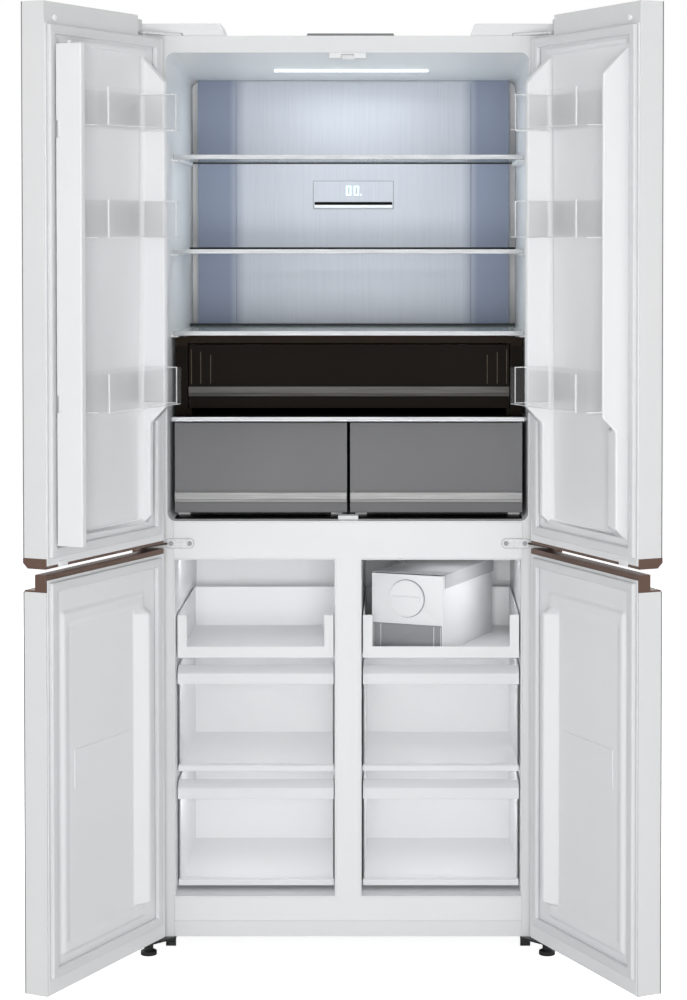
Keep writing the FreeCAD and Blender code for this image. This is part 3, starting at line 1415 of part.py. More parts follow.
def condenser_fan(start, y, z):
    """A hub with a polar pattern of pitched blades, drawn about Z and laid along X."""
    body = doc.addObject("PartDesign::Body", "fan_wheel")
    hub_points = [
        ("fan_shaft_radius + pin_play", "fan_cap"),
        ("fan_shaft_radius + pin_play", "fan_hub_width"),
        ("fan_hub_radius", "fan_hub_width"),
        ("fan_hub_radius", "fan_hub_chamfer"),
        ("fan_hub_radius - fan_hub_chamfer", "0"),
        ("0", "0"),
        ("0", "fan_cap"),
    ]
    hub_sketch = outline_sketch(body, "fan_hub_outline", "XZ_Plane", hub_points)
    hub = body.newObject("PartDesign::Revolution", "fan_hub")
    hub.Profile = hub_sketch
    hub.ReferenceAxis = (hub_sketch, ["V_Axis"])
    hub.Angle = 360
    doc.recompute()
    blade_points = [
        ("-fan_blade_sweep", "fan_cap"),
        ("-fan_blade_sweep + fan_blade_thick", "fan_cap"),
        ("fan_blade_sweep", "fan_blade_top"),
        ("fan_blade_sweep - fan_blade_thick", "fan_blade_top"),
    ]
    blade_sketch = outline_sketch(body, "fan_blade_outline", "XZ_Plane", blade_points)
    blade_sketch.setExpression("AttachmentOffset.Base.z", formula("fan_blade_root"))
    blade = body.newObject("PartDesign::Pad", "fan_blade")
    blade.Profile = blade_sketch
    blade.setExpression("Length", formula("fan_hub_radius - fan_blade_root + fan_blade_length"))
    doc.recompute()
    blades = body.newObject("PartDesign::PolarPattern", "fan_blades")
    blades.Originals = [blade]
    blades.Axis = (hub_sketch, ["V_Axis"])
    blades.Angle = 360
    blades.Occurrences = int(value("fan_blades"))
    body.Tip = blades
    body.Placement = Placement(Vector(), TURNS["x"])
    place(body, start, y, z)
    part("condenser_fan", body)


def machine_cover():
    sheet_y = ("cabinet_depth - cover_wall", "cabinet_depth")
    half = f"({INSIDE} - glide_gap)"
    plate = box("machine_plate", (f"-{half}", half), sheet_y, (MACHINE_FLOOR, MACHINE_TOP))
    slots = []
    for side in ("-", ""):
        for index in range(int(value("louvre_count"))):
            middle = f"({side}{HALF} / 2)"
            up = f"({MACHINE_FLOOR} + cover_rim + louvre_rise + louvre_pitch * {index})"
            slots.append(box(
                "louvre", (f"{middle} - louvre_half_width", f"{middle} + louvre_half_width"),
                ("cabinet_depth - 2 * cover_wall", "cabinet_depth + cover_wall"),
                (up, f"{up} + louvre_height"),
            ))
    gland_up = f"({MACHINE_FLOOR} + cover_rim + gland_radius)"
    gland = rod(
        "mains_gland", "y", "gland_radius", ("gland_side", gland_up),
        ("cabinet_depth - gland_length", "cabinet_depth"),
    )
    gland_hole = rod(
        "mains_gland_bore", "y", "gland_bore", ("gland_side", gland_up),
        ("cabinet_depth - 2 * gland_length", FAR),
    )
    part("machine_cover", cut("rear_cover", fuse("rear_cover_blank", plate, gland), *slots, gland_hole))


# Twist ice maker
def ice_part(name, *solids):
    """A named piece of the ice maker, turned a little as it stands in the tray."""
    piece = doc.addObject("Part::Compound", name)
    piece.Links = list(solids)
    piece.Label = name
    piece.Placement = Placement(Vector(), Rotation(Vector(0, 0, -1), value("ice_turn")))
    piece.setExpression("Placement.Rotation.Angle", formula("ice_turn"))
    place(piece, ICE_SIDE, f"{FRONT_PLANE} + ice_back", f"{TRAY_LOW} + drawer_wall")
    nodes.append(piece)
    return piece


def ice_maker():
    x = ("-ice_half_width", "ice_half_width")
    y = ("-ice_half_length", "ice_half_length")
    top = "(ice_box_height + ice_housing_height)"
    knob_up = "(ice_box_height + ice_knob_rise)"
    inner_x = ("-ice_half_width + ice_wall", "ice_half_width - ice_wall")
    blank = box("ice_blank", x, y, ("0", top))
    inside = box(
        "ice_inside", inner_x, ("-ice_half_length + ice_wall", "ice_half_length - ice_wall"),
        ("-ice_wall", FAR),
    )
    window = box("ice_window", inner_x, (f"-{FAR}", "0"), ("-ice_wall", "ice_box_height"))
    bore = rod("ice_bore", "y", "ice_shaft_radius + pin_play", ("0", knob_up), (f"-{FAR}", "0"))
    housing = cut("ice_housing", blank, inside, window, bore)

    box_half = "(ice_half_width - ice_wall - glide_gap)"
    box_y = ("-ice_half_length", "ice_half_length - ice_wall - glide_gap")
    box_z = ("0", "ice_box_height - glide_gap")
    lid_half = "(ice_half_width + ice_lid_wall + glide_gap)"
    lid_blank = box(
        "lid_blank", (f"-{lid_half}", lid_half),
        ("-ice_half_length + ice_knob_depth", "ice_half_length + ice_lid_wall + glide_gap"),
        (f"{top} - ice_lid_skirt", f"{top} + ice_lid_wall"),
    )
    lid_space = box(
        "lid_space", ("-ice_half_width - glide_gap", "ice_half_width + glide_gap"),
        (f"-{FAR}", "ice_half_length + glide_gap"), ("0", top),
    )
    ice_part("ice_maker_housing", housing, cut("ice_lid", lid_blank, lid_space))
    ice_part("ice_box", hollow("ice_drawer", (f"-{box_half}", box_half), box_y, box_z, "ice_wall"))

    front = "(-ice_half_length - glide_gap)"
    disc = rod("knob_disc", "y", "ice_knob_radius", ("0", knob_up), (f"{front} - ice_knob_depth / 2", front))
    bar = box(
        "knob_bar", ("-ice_knob_bar_half", "ice_knob_bar_half"), (f"{front} - ice_knob_depth", front),
        (f"{knob_up} - ice_knob_bar / 2", f"{knob_up} + ice_knob_bar / 2"),
    )
    tray_front = "(-ice_half_length + ice_tray_end_gap)"
    tray_back = "(ice_half_length - ice_tray_end_gap)"
    shaft_end = f"({tray_front} + ice_tray_wall / 2)"
    shaft = rod("knob_shaft", "y", "ice_shaft_radius", ("0", knob_up), (front, shaft_end))
    cubes = hollow(
        "cube_tray", ("-ice_tray_half_width", "ice_tray_half_width"), (tray_front, tray_back),
        (f"{knob_up} - ice_tray_height / 2", f"{knob_up} + ice_tray_height / 2"), "ice_tray_wall",
    )
    ice_part("ice_maker_knob", fuse("twist_knob", disc, bar, shaft, cubes))


cabinet()
fridge_interior()
fridge_drawers()
freezer_drawers()
upper_doors()
flip_mullion()
lower_doors()
hinges()
feet_and_rollers()
roof_covers()
cooling()
ice_maker()
doc.recompute()

# Every object and every named piece has to be sound before anything is written
for item in doc.Objects:
    for word in ("Invalid", "Error"):
        if word in item.State:
            raise RuntimeError(f"{item.Name} failed: {item.State}")
for piece in nodes:
    if piece.Shape.isNull() or not piece.Shape.isValid():
        raise RuntimeError(f"{piece.Label} has no valid shape")

os.makedirs("parts", exist_ok=True)
for piece in nodes:
    piece.Shape.exportStep(f"parts/{piece.Label}.step")
    print(piece.Label, len(piece.Shape.Solids), round(piece.Shape.Volume / 1000, 1), "cm3")
print(len(nodes), "pieces")
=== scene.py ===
# %% [markdown]
# # Dressing a four-door refrigerator
# The refrigerator stands with all four doors open. Its solids come from CAD, one object for each real
# piece, already in metres and already in place. This lesson keeps those objects as the frame, gives each of
# them a finish, and models the small things that only the eye needs: rails, bright edges, a display, plates
# and rings.

# %% Load the frame
import bpy
import json
import math
from mathutils import Matrix, Vector

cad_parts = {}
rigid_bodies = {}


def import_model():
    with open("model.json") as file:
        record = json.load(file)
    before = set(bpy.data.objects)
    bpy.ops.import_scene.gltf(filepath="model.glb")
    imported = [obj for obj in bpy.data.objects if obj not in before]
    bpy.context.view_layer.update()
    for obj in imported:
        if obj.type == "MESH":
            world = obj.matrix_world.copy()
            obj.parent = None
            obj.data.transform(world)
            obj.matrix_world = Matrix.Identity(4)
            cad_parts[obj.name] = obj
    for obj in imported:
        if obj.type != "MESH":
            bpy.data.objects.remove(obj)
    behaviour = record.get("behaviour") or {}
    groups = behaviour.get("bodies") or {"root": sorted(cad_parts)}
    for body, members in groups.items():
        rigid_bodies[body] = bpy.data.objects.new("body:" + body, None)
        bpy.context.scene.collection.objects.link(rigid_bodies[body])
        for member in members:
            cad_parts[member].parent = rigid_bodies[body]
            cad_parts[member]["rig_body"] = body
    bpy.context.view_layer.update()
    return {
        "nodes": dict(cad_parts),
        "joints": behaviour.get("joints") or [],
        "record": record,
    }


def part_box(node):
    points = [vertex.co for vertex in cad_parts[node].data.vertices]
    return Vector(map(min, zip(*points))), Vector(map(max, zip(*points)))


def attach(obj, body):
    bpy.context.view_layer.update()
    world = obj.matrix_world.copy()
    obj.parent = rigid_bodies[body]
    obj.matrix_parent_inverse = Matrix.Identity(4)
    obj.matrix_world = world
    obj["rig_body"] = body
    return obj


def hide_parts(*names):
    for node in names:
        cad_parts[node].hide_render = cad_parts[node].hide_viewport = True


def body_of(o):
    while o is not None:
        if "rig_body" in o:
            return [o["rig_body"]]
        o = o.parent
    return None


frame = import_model()
nodes = frame["nodes"]
joints = {joint["name"]: joint for joint in frame["joints"]}
scene = bpy.context.scene

# %% [markdown]
# ## Where things are
# The cabinet's front plane is the place that everything else is measured from. The doors turn about upright
# pins just in front of it. Reading these places from the CAD boxes and joints keeps this script in step
# with the solids.

# %% Places shared by many pieces
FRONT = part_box("kick_plate")[0][1]
hinge = joints["upper_left_door_hinge"]
AXIS = Vector((hinge["pos_m"][0], hinge["pos_m"][1], 0.0))
SWING = math.radians(-hinge["range_deg"][0])
SIDES = (("left", 1), ("right", -1))
UPPER_DOORS = ("upper_left_door", "upper_right_door")
LOWER_DOORS = ("lower_left_door", "lower_right_door")
print("front plane at", round(FRONT, 4), "and left hinge axis at", AXIS[:2])

# %% [markdown]
# ## The camera
# The photograph was taken from far away with a long lens, level with the fridge shelves and a little to the
# right. Its upright lines stay parallel, which needs a shifted frame, as with a view camera. A camera that
# is tilted down by less than two degrees and shifted for the rest keeps them parallel to the eye, and the
# smaller shift keeps the object in the frame when it is looked at from other sides.

# %% Camera
PICTURE_HEIGHT = 1000
SENSOR = 36.0
FOCAL_PIXELS = 2424.0
TILT = 1.6327
SHIFT_X, SHIFT_Y = -0.0612, -0.1983
EYE_RIGHT, EYE_DISTANCE, EYE_HEIGHT = 0.11215, 4.7686, 1.4239
camera_data = bpy.data.cameras.new("photo_camera")
camera_data.sensor_width = SENSOR
camera_data.lens = FOCAL_PIXELS / PICTURE_HEIGHT * SENSOR
camera_data.shift_x = SHIFT_X
camera_data.shift_y = SHIFT_Y
camera = bpy.data.objects.new("photo_camera", camera_data)
camera.location = (EYE_RIGHT, FRONT - EYE_DISTANCE, EYE_HEIGHT)
camera.rotation_euler = (math.radians(90 - TILT), 0, 0)
scene.collection.objects.link(camera)
scene.camera = camera
print("lens", round(camera_data.lens, 1), "mm")

# %% [markdown]
# ## Tools for shaders
# Every finish is built from a few small steps: a noise that stays put on the piece, a change of its range,
# a blend of two colours and a fine relief. One short function for each step keeps a finish to a few lines.


# %% Small helpers for nodes and colours
def screen(red, green, blue):
    """A colour given as on a screen, 0 to 255, made linear as the shaders need it."""
    shares = [channel / 255 for channel in (red, green, blue)]
    linear = [s / 12.92 if s <= 0.04045 else ((s + 0.055) / 1.055) ** 2.4 for s in shares]
    return (*linear, 1.0)


def add(tree, kind, **settings):
    """A new shader node with its settings."""
    made = tree.nodes.new("ShaderNode" + kind)
    for name, setting in settings.items():
        setattr(made, name, setting)
    return made


def blank(name):
    """A new material with its node tree and its Principled shader."""
    material = bpy.data.materials.new(name)
    material.use_nodes = True
    tree = material.node_tree
    return material, tree, tree.nodes["Principled BSDF"]


def noise(tree, scale, stretch=(1, 1, 1), detail=3.0):
    """A noise pattern that stays put on the piece, drawn out along the axes that stretch makes small."""
    place = add(tree, "TexCoord")
    mapping = add(tree, "Mapping")
    mapping.inputs["Scale"].default_value = stretch
    pattern = add(tree, "TexNoise")
    pattern.inputs["Scale"].default_value = scale
    pattern.inputs["Detail"].default_value = detail
    tree.links.new(place.outputs["Object"], mapping.inputs["Vector"])
    tree.links.new(mapping.outputs["Vector"], pattern.inputs["Vector"])
    return pattern.outputs["Fac"]


def spread(tree, value, low, high, start=0.3, end=0.7):
    """Carry a pattern from one range of numbers to another."""
    stretch = add(tree, "MapRange")
    stretch.inputs["From Min"].default_value = start
    stretch.inputs["From Max"].default_value = end
    stretch.inputs["To Min"].default_value = low
    stretch.inputs["To Max"].default_value = high
    tree.links.new(value, stretch.inputs["Value"])
    return stretch.outputs["Result"]


def reckon(tree, operation, first, second):
    """Join two numbers by a sum, a product or the like. The second one may be a plain number."""
    step = add(tree, "Math", operation=operation)
    tree.links.new(first, step.inputs[0])
    if isinstance(second, float):
        step.inputs[1].default_value = second
    else:
        tree.links.new(second, step.inputs[1])
    return step.outputs[0]


def blend(tree, share, first, second):
    """Mix two colours, or two colour outputs, by a share."""
    mix = add(tree, "Mix", data_type="RGBA")
    tree.links.new(share, mix.inputs["Factor"])
    for socket, colour in ((mix.inputs["A"], first), (mix.inputs["B"], second)):
        if isinstance(colour, tuple):
            socket.default_value = colour
        else:
            tree.links.new(colour, socket)
    return mix.outputs["Result"]


def relief(tree, shader, pattern, height):
    """Raise a fine pattern, with its height in metres, on a shader's surface."""
    bump = add(tree, "Bump")
    bump.inputs["Strength"].default_value = 1.0
    bump.inputs["Distance"].default_value = height
    tree.links.new(pattern, bump.inputs["Height"])
    tree.links.new(bump.outputs["Normal"], shader.inputs["Normal"])


# %% [markdown]
# ## Floor and light
# A product picture of a white appliance needs light that wraps round it, or the white turns grey and flat.
# One soft box stands behind the camera, level with the shelves, so that light reaches the back of the open
# compartments. It isn't shown in reflections, or the metal at the back of the fridge would carry a glaring
# patch. Weaker boxes stand left, right, above and behind, and light the sides and the roof of the cabinet
# too, and a pale world fills the rest. The floor and the world are white to the camera and in reflections,
# but light the object only at a plain level.

# %% World
PLAIN_LEVEL, WHITE_LEVEL = 0.25, 1.0
scene.view_settings.view_transform = "Standard"
world = bpy.data.worlds.new("studio")
world.use_nodes = True
scene.world = world
tree = world.node_tree
background = tree.nodes["Background"]
background.inputs["Color"].default_value = (1, 1, 1, 1)
rays = add(tree, "LightPath").outputs
seen = reckon(tree, "MAXIMUM", rays["Is Camera Ray"], rays["Is Glossy Ray"])
shown = reckon(tree, "MAXIMUM", seen, rays["Is Transmission Ray"])
level = spread(tree, shown, PLAIN_LEVEL, WHITE_LEVEL, 0.0, 1.0)
tree.links.new(level, background.inputs["Strength"])
print("world made")


# %% Soft boxes
def soft_box(name, place, aim, size, watts, mirrored=True):
    """A square area lamp that faces a point on the object, and shows in reflections if it is mirrored."""
    data = bpy.data.lights.new(name, "AREA")
    data.size = size
    data.energy = watts
    lamp = bpy.data.objects.new(name, data)
    lamp.location = place
    lamp.rotation_euler = (Vector(aim) - Vector(place)).to_track_quat("-Z", "Y").to_euler()
    lamp.visible_glossy = mirrored
    scene.collection.objects.link(lamp)


soft_box("front_box", (0.1, -5.4, 1.05), (0.0, 0.1, 0.95), 1.4, 141, mirrored=False)
soft_box("left_box", (-2.6, -4.2, 2.3), (0.0, 0.1, 1.0), 2.4, 18)
soft_box("right_box", (2.8, -4.2, 2.3), (0.0, 0.1, 1.0), 2.4, 15)
soft_box("top_box", (0.0, -1.6, 4.2), (0.0, 0.0, 0.9), 2.6, 12)
soft_box("back_box", (0.6, 4.6, 2.2), (0.0, 0.3, 0.9), 2.4, 70, mirrored=False)
soft_box("left_side_box", (-3.6, 0.8, 1.6), (-0.4, 0.3, 0.9), 2.4, 36, mirrored=False)
soft_box("right_side_box", (3.6, 0.8, 1.6), (0.4, 0.3, 0.9), 2.4, 33, mirrored=False)
soft_box("roof_box", (0.0, 1.4, 4.2), (0.0, 0.25, 1.8), 1.6, 18, mirrored=False)

# %% Floor
FLOOR_SIZE = 16
FLOOR_GLOW = 0.82
bpy.ops.object.select_all(action="DESELECT")
bpy.ops.mesh.primitive_plane_add(size=FLOOR_SIZE, location=(0, 0, 0))
floor = bpy.context.active_object
floor.name = "floor"
paper, tree, shader = blank("studio_paper")
share = spread(tree, noise(tree, 1.5), 0.0, 1.0)
tint = blend(tree, share, screen(246, 246, 246), screen(249, 249, 249))
tree.links.new(tint, shader.inputs["Base Color"])
shader.inputs["Roughness"].default_value = 0.9
shader.inputs["Specular IOR Level"].default_value = 0.0
shader.inputs["Emission Color"].default_value = (1, 1, 1, 1)
rays = add(tree, "LightPath").outputs
lift = spread(tree, rays["Is Camera Ray"], 0.0, FLOOR_GLOW, 0.0, 1.0)
tree.links.new(lift, shader.inputs["Emission Strength"])
floor.data.materials.append(paper)
print("floor made")

# %% [markdown]
# ## White plastic and white enamel
# Most of the refrigerator is white, but not one white: the case is powder-coated steel with a fine orange
# peel, the liners are vacuum-formed plastic with a soft sheen, and the gaskets are dull rubber. Each one
# gets its own roughness and its own fine relief, and a slow, faint drift of tone so that no large face is
# dead flat. The cover of the circuit board on the roof is white with a grey front, so its finish looks at
# how far back each point lies. In the same way the cabinet's front flange and the trays' fronts are a shade
# greyer than the plastic behind them.

# %% Moulded finishes
SHEEN_SWING = 0.03


def moulded(name, pale, deep, roughness, grain=900.0, height=0.00004, drift=3.0):
    """A smooth moulded or painted surface: slow drift of tone, uneven sheen and a fine skin."""
    material, tree, shader = blank(name)
    slow = noise(tree, drift, detail=1.0)
    share = spread(tree, slow, 0.0, 1.0, 0.1, 0.9)
    sheen = spread(tree, slow, roughness - SHEEN_SWING, roughness + SHEEN_SWING, 0.1, 0.9)
    tree.links.new(blend(tree, share, pale, deep), shader.inputs["Base Color"])
    tree.links.new(sheen, shader.inputs["Roughness"])
    relief(tree, shader, noise(tree, grain, detail=1.0), height)
    return material, tree, shader


def place_of(tree):
    """The three coordinates of a point on the piece."""
    place = add(tree, "TexCoord")
    parts = add(tree, "SeparateXYZ")
    tree.links.new(place.outputs["Object"], parts.inputs["Vector"])
    return parts.outputs


def between(tree, value, low, high):
    """One where a number lies between two limits, nought elsewhere."""
    above = reckon(tree, "GREATER_THAN", value, low)
    below = reckon(tree, "LESS_THAN", value, high)
    return reckon(tree, "MULTIPLY", above, below)


def repaint(tree, shader, share, colour):
    """Put another colour over a finish wherever share is one."""
    under = shader.inputs["Base Color"].links[0].from_socket
    tree.links.new(blend(tree, share, under, colour), shader.inputs["Base Color"])


FLANGE = (FRONT - 0.02, FRONT + 0.004)
TRAY_FACE = (FRONT + 0.02, FRONT + 0.031)
BOARD_COVER_FRONT = (FRONT + 0.2, FRONT + 0.262)
case_white, _, _ = moulded("case_white", screen(221, 221, 222), screen(217, 218, 219), 0.36)
liner_white, tree, shader = moulded("liner_white", screen(242, 243, 244), screen(237, 238, 240), 0.34)
repaint(tree, shader, between(tree, place_of(tree)["Y"], *FLANGE), screen(225, 226, 227))
door_liner, _, _ = moulded("door_liner_white", screen(231, 232, 233), screen(226, 227, 229), 0.34)
tray_white, tree, shader = moulded("tray_white", screen(238, 239, 240), screen(234, 235, 237), 0.34)
repaint(tree, shader, between(tree, place_of(tree)["Y"], *TRAY_FACE), screen(226, 227, 228))
mullion_white, _, _ = moulded("mullion_white", screen(228, 229, 230), screen(224, 225, 226), 0.36)
gasket_grey, _, _ = moulded(
    "gasket_grey", screen(222, 223, 224), screen(212, 213, 215), 0.6, 1500.0, 0.00008,
)
black_plastic, _, _ = moulded("black_plastic", screen(34, 34, 35), screen(22, 22, 23), 0.5, 1400.0, 0.0001)
black_steel, _, _ = moulded("black_steel", screen(36, 37, 40), screen(24, 25, 27), 0.35)
cover_white, tree, shader = moulded("cover_white", screen(228, 229, 230), screen(223, 224, 225), 0.36)
repaint(tree, shader, between(tree, place_of(tree)["Y"], *BOARD_COVER_FRONT), screen(148, 149, 150))
foam, _, _ = moulded("foam", screen(222, 208, 160), screen(208, 192, 142), 0.8, 400.0, 0.0004)
print("white, black and foam finishes made")

# %% [markdown]
# ## The door skins
# Each door wears a white skin whose edge shows as a thin dark line all round its front. The line belongs to
# the door, not to the world, so the door's material first turns the object's coordinates back to the closed
# door, where "a few millimetres behind the front" is simply a range of Y.

# %% Door coordinates and the dark edge line
DOOR_FACE = -0.0181
EDGE_LINE = (DOOR_FACE + 0.0005, DOOR_FACE + 0.0032)


def door_place(tree, side):
    """Coordinates of the closed door, measured from its hinge axis."""
    back = Matrix.Rotation(SWING, 3, "Z")
    place = add(tree, "TexCoord")
    mapping = add(tree, "Mapping")
    mapping.inputs["Scale"].default_value = (side, 1, 1)
    mapping.inputs["Rotation"].default_value = (0, 0, SWING)
    mapping.inputs["Location"].default_value = -(back @ AXIS)
    tree.links.new(place.outputs["Object"], mapping.inputs["Vector"])
    parts = add(tree, "SeparateXYZ")
    tree.links.new(mapping.outputs["Vector"], parts.inputs["Vector"])
    return parts.outputs


def door_skin(name, side):
    """White door enamel with a dark line just behind the front face."""
    material, tree, shader = moulded(name, screen(218, 218, 219), screen(213, 214, 215), 0.34)
    line = between(tree, door_place(tree, side)["Y"], *EDGE_LINE)
    repaint(tree, shader, line, screen(92, 93, 95))
    return material


door_skins = {word: door_skin(f"door_white_{word}", side) for word, side in SIDES}
print("door skins made")

# %% [markdown]
# ## Metals
# Brushed metal is a fine noise drawn out along the brushing direction, used for the tone, the roughness and
# the relief at once. The shelf trims and drawer strips are brushed along X, the duct is brushed upwards,
# and the copper-brown trim of the doors has a finer, shorter grain. The arms of the middle hinges, which
# stand out in front of the cabinet between the doors, are dark: partly their own dark steel, partly painted
# shade of the gap between the doors. The bottom brackets are black, and the plates screwed to the cabinet
# are pale. The duct turns to a darker blue-grey towards its sides, which is a painted reflection of the
# dark side walls.

# %% Brushed metals
SCRATCH_SWING = 0.06


def brushed(name, pale, deep, roughness, stretch, metallic=1.0, grain=420.0, height=0.00006):
    """Metal with fine drawn-out scratches."""
    material, tree, shader = blank(name)
    scratch = noise(tree, grain, stretch, 4.0)
    sheen = spread(tree, scratch, roughness + SCRATCH_SWING, roughness - SCRATCH_SWING)
    tone = blend(tree, spread(tree, scratch, 0.0, 1.0), deep, pale)
    tree.links.new(tone, shader.inputs["Base Color"])
    tree.links.new(sheen, shader.inputs["Roughness"])
    shader.inputs["Metallic"].default_value = metallic
    relief(tree, shader, scratch, height)
    return material, tree, shader


HINGE_ARMS = (FRONT - 0.1, FRONT - 0.0045)
MIDDLE_HINGE = (0.8, 0.825)
BOTTOM_HINGE = (0.0, 0.07)
REFLECTION_START, REFLECTION_END = 0.236, 0.272
ALONG_X, ALONG_Z, EVEN = (0.02, 1, 1), (1, 1, 0.01), (1, 1, 1)
SHORT_X = (0.2, 1, 1)
silver_trim, _, _ = brushed("silver_trim", screen(236, 238, 240), screen(204, 206, 210), 0.25, (0.03, 1, 1))
copper_trim, _, _ = brushed("copper_trim", screen(124, 101, 90), screen(100, 77, 66), 0.32, (1, 1, 6), 0.6)
hinge_steel, tree, shader = brushed(
    "hinge_steel", screen(228, 230, 231), screen(206, 208, 210), 0.3, SHORT_X, 0.3,
)
# The dark colour of the middle hinge arms is partly their own dark steel and partly painted shade of the
# gap between the doors.
in_front = between(tree, place_of(tree)["Y"], *HINGE_ARMS)
at_middle = between(tree, place_of(tree)["Z"], *MIDDLE_HINGE)
repaint(tree, shader, reckon(tree, "MULTIPLY", in_front, at_middle), screen(74, 62, 56))
repaint(tree, shader, between(tree, place_of(tree)["Z"], *BOTTOM_HINGE), screen(36, 36, 38))
# A grey finish for painted shade on the ends of the shelf trims.
cap_grey, _, _ = brushed("cap_grey", screen(196, 198, 200), screen(168, 170, 173), 0.3, SHORT_X, 0.4)
screw_steel, _, _ = brushed("screw_steel", screen(172, 174, 176), screen(140, 142, 145), 0.3, EVEN, 0.6)
coil_metal, _, _ = brushed("coil_metal", screen(196, 188, 180), screen(160, 150, 142), 0.35, (1, 1, 0.1))
galvanised, _, _ = brushed(
    "galvanised_steel", screen(186, 189, 192), screen(160, 163, 167), 0.45, EVEN, 0.6, 30.0,
)
duct_metal, tree, shader = brushed(
    "duct_metal", screen(203, 206, 214), screen(195, 199, 208), 0.35, ALONG_Z, 0.3, 700.0,
)
# The darker blue-grey bands towards the duct's sides are a painted reflection of the dark side walls.
aside = add(tree, "Math", operation="ABSOLUTE")
tree.links.new(place_of(tree)["X"], aside.inputs[0])
painted_reflection = spread(tree, aside.outputs[0], 0.0, 1.0, REFLECTION_START, REFLECTION_END)
repaint(tree, shader, painted_reflection, screen(134, 142, 161))
strip_metal, _, _ = brushed("strip_metal", screen(184, 184, 184), screen(160, 160, 160), 0.35, ALONG_X, 0.7)
strip_dark, _, _ = brushed("strip_dark", screen(106, 105, 102), screen(86, 85, 82), 0.4, ALONG_X, 0.7)
print("metals made")

# %% [markdown]
# ## Smoked, clear and frosted plastic
# The fresh drawer is almost black, the crispers are smoked grey, the door bins are clear and the freezer
# drawers are milky with a clear front. Real thin plastic shows most at its edges and where it is seen at a
# grazing angle. Letting the alpha rise with the facing angle gives just that, with far less noise than true
# refraction in walls of 2 mm. The clear front of a freezer drawer is a thin range of Y, so one finish can
# do the whole drawer.

# %% Plastics that let light through
FACING_BLEND = 0.35
CLEAR_GLOSS = 0.6
SKIN = 0.00003
DRAWER_LIP = (FRONT + 0.02, FRONT + 0.0445)
DRAWER_FRONT = (FRONT + 0.0455, FRONT + 0.0490)
BROWN_BAND = (1.196, 1.23)


def dull(name, pale, deep, roughness, gloss):
    """A moulded finish that mirrors less than plastic does as a rule."""
    material, tree, shader = moulded(name, pale, deep, roughness)
    shader.inputs["Specular IOR Level"].default_value = gloss
    return material, tree, shader


def see_through(name, pale, deep, roughness, clear, edge):
    """Thin plastic or glass: alpha goes from clear, seen straight on, to edge, seen at a grazing angle."""
    material, tree, shader = moulded(name, pale, deep, roughness, 700.0, SKIN)
    facing = add(tree, "LayerWeight")
    facing.inputs["Blend"].default_value = FACING_BLEND
    alpha = spread(tree, facing.outputs["Facing"], clear, edge, 0.0, 1.0)
    tree.links.new(alpha, shader.inputs["Alpha"])
    shader.inputs["Specular IOR Level"].default_value = CLEAR_GLOSS
    return material


def drawer_plastic(name, pale, deep, wall, clear, milky):
    """Milky plastic with a greyer lip, almost clear in one wall, which is a range of Y."""
    material, tree, shader = moulded(name, pale, deep, 0.34, 700.0, SKIN)
    repaint(tree, shader, between(tree, place_of(tree)["Y"], *DRAWER_LIP), screen(226, 227, 229))
    front = between(tree, place_of(tree)["Y"], *wall)
    tree.links.new(spread(tree, front, milky, clear, 0.0, 1.0), shader.inputs["Alpha"])
    return material


smoked_plastic, _, _ = dull("smoked_plastic", screen(24, 20, 15), screen(18, 14, 10), 0.34, 0.08)
# Pale brown for the fresh drawer's side walls seen through its front, brightened by painted highlights.
rib_brown, _, _ = moulded("rib_brown", screen(96, 84, 70), screen(72, 62, 50), 0.4, drift=40.0)
smoked_frame, tree, shader = dull("smoked_frame", screen(26, 22, 17), screen(20, 16, 12), 0.34, 0.08)
repaint(tree, shader, between(tree, place_of(tree)["Z"], *BROWN_BAND), screen(37, 29, 23))
# A near-black finish for painted shade: the slot in the control panel and the dark sheets in the fresh zone
# and under the crispers.
dark_film, _, _ = dull("dark_film", screen(14, 12, 10), screen(8, 7, 6), 0.35, 0.1)
crisper_grey, _, _ = dull("crisper_grey", screen(126, 126, 127), screen(112, 112, 114), 0.34, 0.2)
clear_plastic = see_through(
    "clear_plastic", screen(246, 247, 248), screen(240, 242, 244), 0.08, 0.004, 0.05,
)
# A bright, almost opaque finish for painted highlights on the edges of clear plastic.
clear_edge = see_through("clear_edge", screen(250, 251, 252), screen(244, 246, 247), 0.1, 0.7, 0.95)
smoky_plastic = see_through("smoky_plastic", screen(206, 208, 210), screen(190, 192, 195), 0.12, 0.35, 0.8)
lid_plastic = see_through("lid_plastic", screen(226, 228, 230), screen(208, 210, 213), 0.12, 0.6, 0.9)
frosted_plastic = drawer_plastic(
    "frosted_plastic", screen(240, 241, 242), screen(235, 236, 238), DRAWER_FRONT, 0.2, 0.97,
)
shelf_glass = see_through("shelf_glass", screen(226, 236, 234), screen(220, 232, 230), 0.05, 0.1, 0.7)
print("plastics and glass made")

# %% [markdown]
# ## Lamps inside
# The fridge light is a slim lens in the ceiling. Its own glow makes it white, and a small area lamp just
# under it lights the top of the fridge, because a thin glowing strip alone gives a noisy picture. Faint
# lamps under the shelves, towards the side walls and over the trays and drawers lift them out of the shade,
# as a photographer's fill cards would. In the right tray one short lamp stands beside the ice maker, or it
# would glare on the ice maker's front, and two more light its flank and its lid.

# %% Ceiling lamp and fill lamps
light_lens, tree, shader = blank("light_lens")
glow = spread(tree, noise(tree, 60.0, SHORT_X), 2.2, 2.6)
tree.links.new(glow, shader.inputs["Emission Strength"])
shader.inputs["Emission Color"].default_value = (0.95, 0.98, 1.0, 1.0)
shader.inputs["Base Color"].default_value = (0.9, 0.9, 0.9, 1.0)
shader.inputs["Roughness"].default_value = 0.3
low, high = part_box("ceiling_light")


